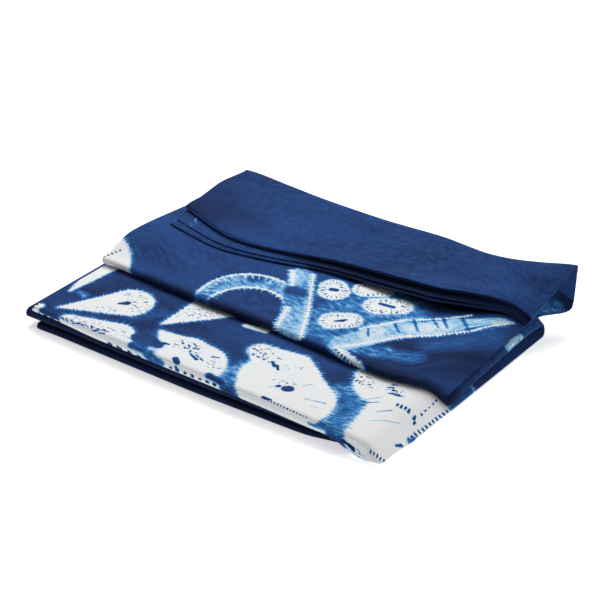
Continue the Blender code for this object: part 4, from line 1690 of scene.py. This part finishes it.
@dataclass(frozen=True)
class IndigoCotton:
    """Plain-woven cotton, dyed with indigo round stitched and tied resists."""

    name: str
    stops: tuple = (
        (0.00, (8, 18, 42)),
        (0.12, (20, 39, 80)),
        (0.20, (33, 64, 118)),
        (0.30, (34, 80, 142)),
        (0.45, (48, 118, 182)),
        (0.65, (136, 188, 224)),
        (0.82, (204, 220, 230)),
        (1.00, (230, 231, 232)),
    )
    streak: tuple = (26.0, 420.0, 3.0, 0.6)
    streak_level: float = 0.055
    cloud: tuple = (7.0, 22.0, 3.0, 0.55)
    cloud_level: float = 0.22
    blotch: tuple = (120.0, 260.0, 3.0, 0.65)
    blotch_level: float = 0.75
    middle_level: float = 0.50
    middle_fade: tuple = (0.10, 0.36)
    grain: tuple = (280.0, 1.0)
    speck: tuple = (240.0, 2.0, 0.6)
    speck_stretch: float = 1.8
    speck_edge: tuple = (0.60, 0.64)
    roughness: float = 0.88
    sheen: float = 0.02
    sheen_roughness: float = 0.5
    gloss: float = 0.12
    thread: float = 0.0008
    thread_level: float = 0.5
    slub: tuple = (60.0, 1400.0)
    bump: float = 0.35
    bump_height: float = 0.00012

    def build(self, marks: tuple) -> bpy.types.Material:
        """Makes the material.

        Args:
            marks: The rows of the marks, dyed ones and painted shade, in the order in which they
                are laid.

        Returns:
            The material.
        """
        feeds = {
            "Roughness": self.roughness,
            "Sheen Weight": self.sheen,
            "Sheen Roughness": self.sheen_roughness,
            "Specular IOR Level": self.gloss,
        }
        material, graph, shader = principled(self.name, feeds)
        cloth = graph.node("ShaderNodeUVMap", uv_map="cloth").outputs[0]
        dye = graph.node("ShaderNodeUVMap", uv_map="dye").outputs[0]
        colour = self._colour(graph, cloth, self._level(graph, dye, marks))
        graph.feed(shader, {"Base Color": colour, "Normal": self._weave(graph, cloth)})
        return material

    def _level(self, graph: Graph, dye: object, marks: tuple) -> Term:
        """Lays every mark in turn over plain navy.

        Args:
            graph: The material's graph.
            dye: The dye map.
            marks: The rows of the marks.

        Returns:
            The level of bare cotton.
        """
        stretched = graph.vector("MULTIPLY", dye, (1.0, self.speck_stretch, 1.0))
        feeds = {
            "Level": float(Tone.NAVY),
            "Point": dye,
            "Grain": graph.noise(dye, *self.grain) - 0.5,
            "Speck": graph.ease(graph.noise(stretched, *self.speck), *self.speck_edge),
        }
        groups = {}
        for mark in (Mark(*row) for row in marks):
            if mark.kind not in groups:
                groups[mark.kind] = MarkGraph(mark.kind).tree
            feeds |= mark.feeds()
            node = graph.node("ShaderNodeGroup", node_tree=groups[mark.kind])
            graph.feed(node, feeds)
            feeds["Level"] = Term(graph, node.outputs["Level"])
        return feeds["Level"]

    def _colour(self, graph: Graph, cloth: object, level: Term) -> Term:
        """Turns the level of bare cotton into colour, with the dye's own streaks and clouds.

        Args:
            graph: The material's graph.
            cloth: The cloth map.
            level: The level of bare cotton.

        Returns:
            The colour.
        """
        streak = graph.woven(cloth, *self.streak) - 0.5
        cloud = graph.woven(cloth, *self.cloud) - 0.5
        blotch = graph.woven(cloth, *self.blotch) - 0.5
        plain = streak * self.streak_level + cloud * self.cloud_level
        away = graph.math("ABSOLUTE", level - self.middle_level)
        middle = 1.0 - graph.ease(away, *self.middle_fade)
        shown = level + (1.0 - level) * plain + middle * blotch * self.blotch_level
        ramp = graph.node("ShaderNodeValToRGB", {"Fac": shown})
        elements = ramp.color_ramp.elements
        for place, _ in self.stops[1:-1]:
            elements.new(place)
        for element, (place, colour) in zip(elements, self.stops):
            element.position = place
            element.color = dye_colour(*colour)
        return Term(graph, ramp.outputs["Color"])

    def _weave(self, graph: Graph, cloth: object) -> Term:
        """Crossed threads with slubs, as a bump.

        Args:
            graph: The material's graph.
            cloth: The cloth map.

        Returns:
            The bumped normal.
        """
        turns = 2.0 * math.pi / self.thread
        across, along = (
            graph.math("SINE", graph.dot(cloth, axis) * turns) for axis in (AXIS_X, AXIS_Y)
        )
        slubs = graph.woven(cloth, *self.slub, 2.0) + graph.woven(cloth, *self.slub[::-1], 2.0)
        feeds = {
            "Strength": self.bump,
            "Distance": self.bump_height,
            "Height": across * along * self.thread_level + slubs,
        }
        return Term(graph, graph.node("ShaderNodeBump", feeds).outputs["Normal"])


@dataclass(frozen=True)
class SewingThread:
    """Navy cotton sewing thread, with its two plies twisted together."""

    name: str = "Navy_thread"
    dark: tuple = (16, 28, 58)
    light: tuple = (48, 76, 128)
    ply_scale: float = 1600.0
    ply_slant: tuple = (0.7, 0.5, 0.5)
    roughness: float = 0.8

    def build(self) -> bpy.types.Material:
        """Makes the material.

        Returns:
            The material.
        """
        material, graph, shader = principled(self.name, {"Roughness": self.roughness})
        place = graph.node("ShaderNodeTexCoord").outputs["Object"]
        slant = graph.dot(place, self.ply_slant) * self.ply_scale
        feeds = {
            "Factor": graph.math("SINE", slant) * 0.5 + 0.5,
            "A": dye_colour(*self.dark),
            "B": dye_colour(*self.light),
        }
        mix = graph.node("ShaderNodeMix", feeds, data_type="RGBA")
        graph.feed(shader, {"Base Color": mix.outputs["Result"]})
        return material


@dataclass
class PhotoStand:
    """The camera, the pale floor and the soft light of the photograph."""

    position: tuple = (0.8965, -1.2317, 0.8713)
    turn: tuple = (61.0, 0.0, 36.0)
    lens: float = 120.0
    sensor: float = 36.0
    floor_half: float = 6.0
    floor_colour: tuple = (0.93, 0.93, 0.93, 1.0)
    floor_roughness: float = 0.95
    floor_glow: float = 0.55
    key: tuple = ("Key_light", (-0.45, 0.75, 1.6), 1.3, 32.0)
    fill: tuple = ("Fill_light", (0.9, 0.2, 1.8), 1.2, 6.0)
    world_strength: float = 0.22

    def camera(self) -> None:
        """Makes the camera and gives it to the scene."""
        data = bpy.data.cameras.new("Camera")
        data.lens = self.lens
        data.sensor_width = self.sensor
        camera = linked("Camera", data)
        camera.location = self.position
        camera.rotation_euler = [math.radians(value) for value in self.turn]
        bpy.context.scene.camera = camera

    def floor(self) -> None:
        """Lays the pale floor."""
        half = self.floor_half
        mesh = bpy.data.meshes.new("Pale_floor")
        corners = [(-half, -half, 0), (half, -half, 0), (half, half, 0), (-half, half, 0)]
        mesh.from_pydata(corners, [], [(0, 1, 2, 3)])
        feeds = {
            "Base Color": self.floor_colour,
            "Roughness": self.floor_roughness,
            "Emission Color": WHITE,
            "Emission Strength": self.floor_glow,
        }
        mesh.materials.append(principled("Pale_paper", feeds)[0])
        floor = linked("Pale_floor", mesh)

    def light(self, name: str, place: tuple, size: float, power: float) -> None:
        """Hangs one soft square light that faces the cloth.

        Args:
            name: The light's name.
            place: Where it hangs.
            size: The length of its sides.
            power: Its power in watts.
        """
        data = bpy.data.lights.new(name, "AREA")
        data.size = size
        data.energy = power
        light = linked(name, data)
        light.location = place
        light.rotation_euler = (-Vector(place)).to_track_quat("-Z", "Y").to_euler()

    def world(self) -> None:
        """Whitens the surroundings."""
        world = bpy.data.worlds.new("Studio")
        world.use_nodes = True
        feeds = {"Color": WHITE, "Strength": self.world_strength}
        Graph(world.node_tree).feed(world.node_tree.nodes["Background"], feeds)
        bpy.context.scene.world = world
        bpy.context.scene.view_settings.view_transform = "Standard"

    def build(self) -> None:
        """Sets up the whole stand."""
        self.camera()
        self.floor()
        self.light(*self.key)
        self.light(*self.fill)
        self.world()


def main() -> None:
    """Builds the cloth and its surroundings, in order."""
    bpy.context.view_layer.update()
    PhotoStand().build()
    cloth = ClothSheet()
    sheet = cloth.build()
    for name, marks in DYES.items():
        sheet.data.materials.append(IndigoCotton(name).build(marks))
    sewing = HemStitches()
    stitches = sewing.build(cloth.hem_line(sewing.seam_depth), SewingThread().build())
    for piece in (sheet, stitches):
        LOG.info("%s: %d faces", piece.name, len(piece.data.polygons))
        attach(piece, BODY)
        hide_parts(NODE)


if __name__ == "__main__":
    main()
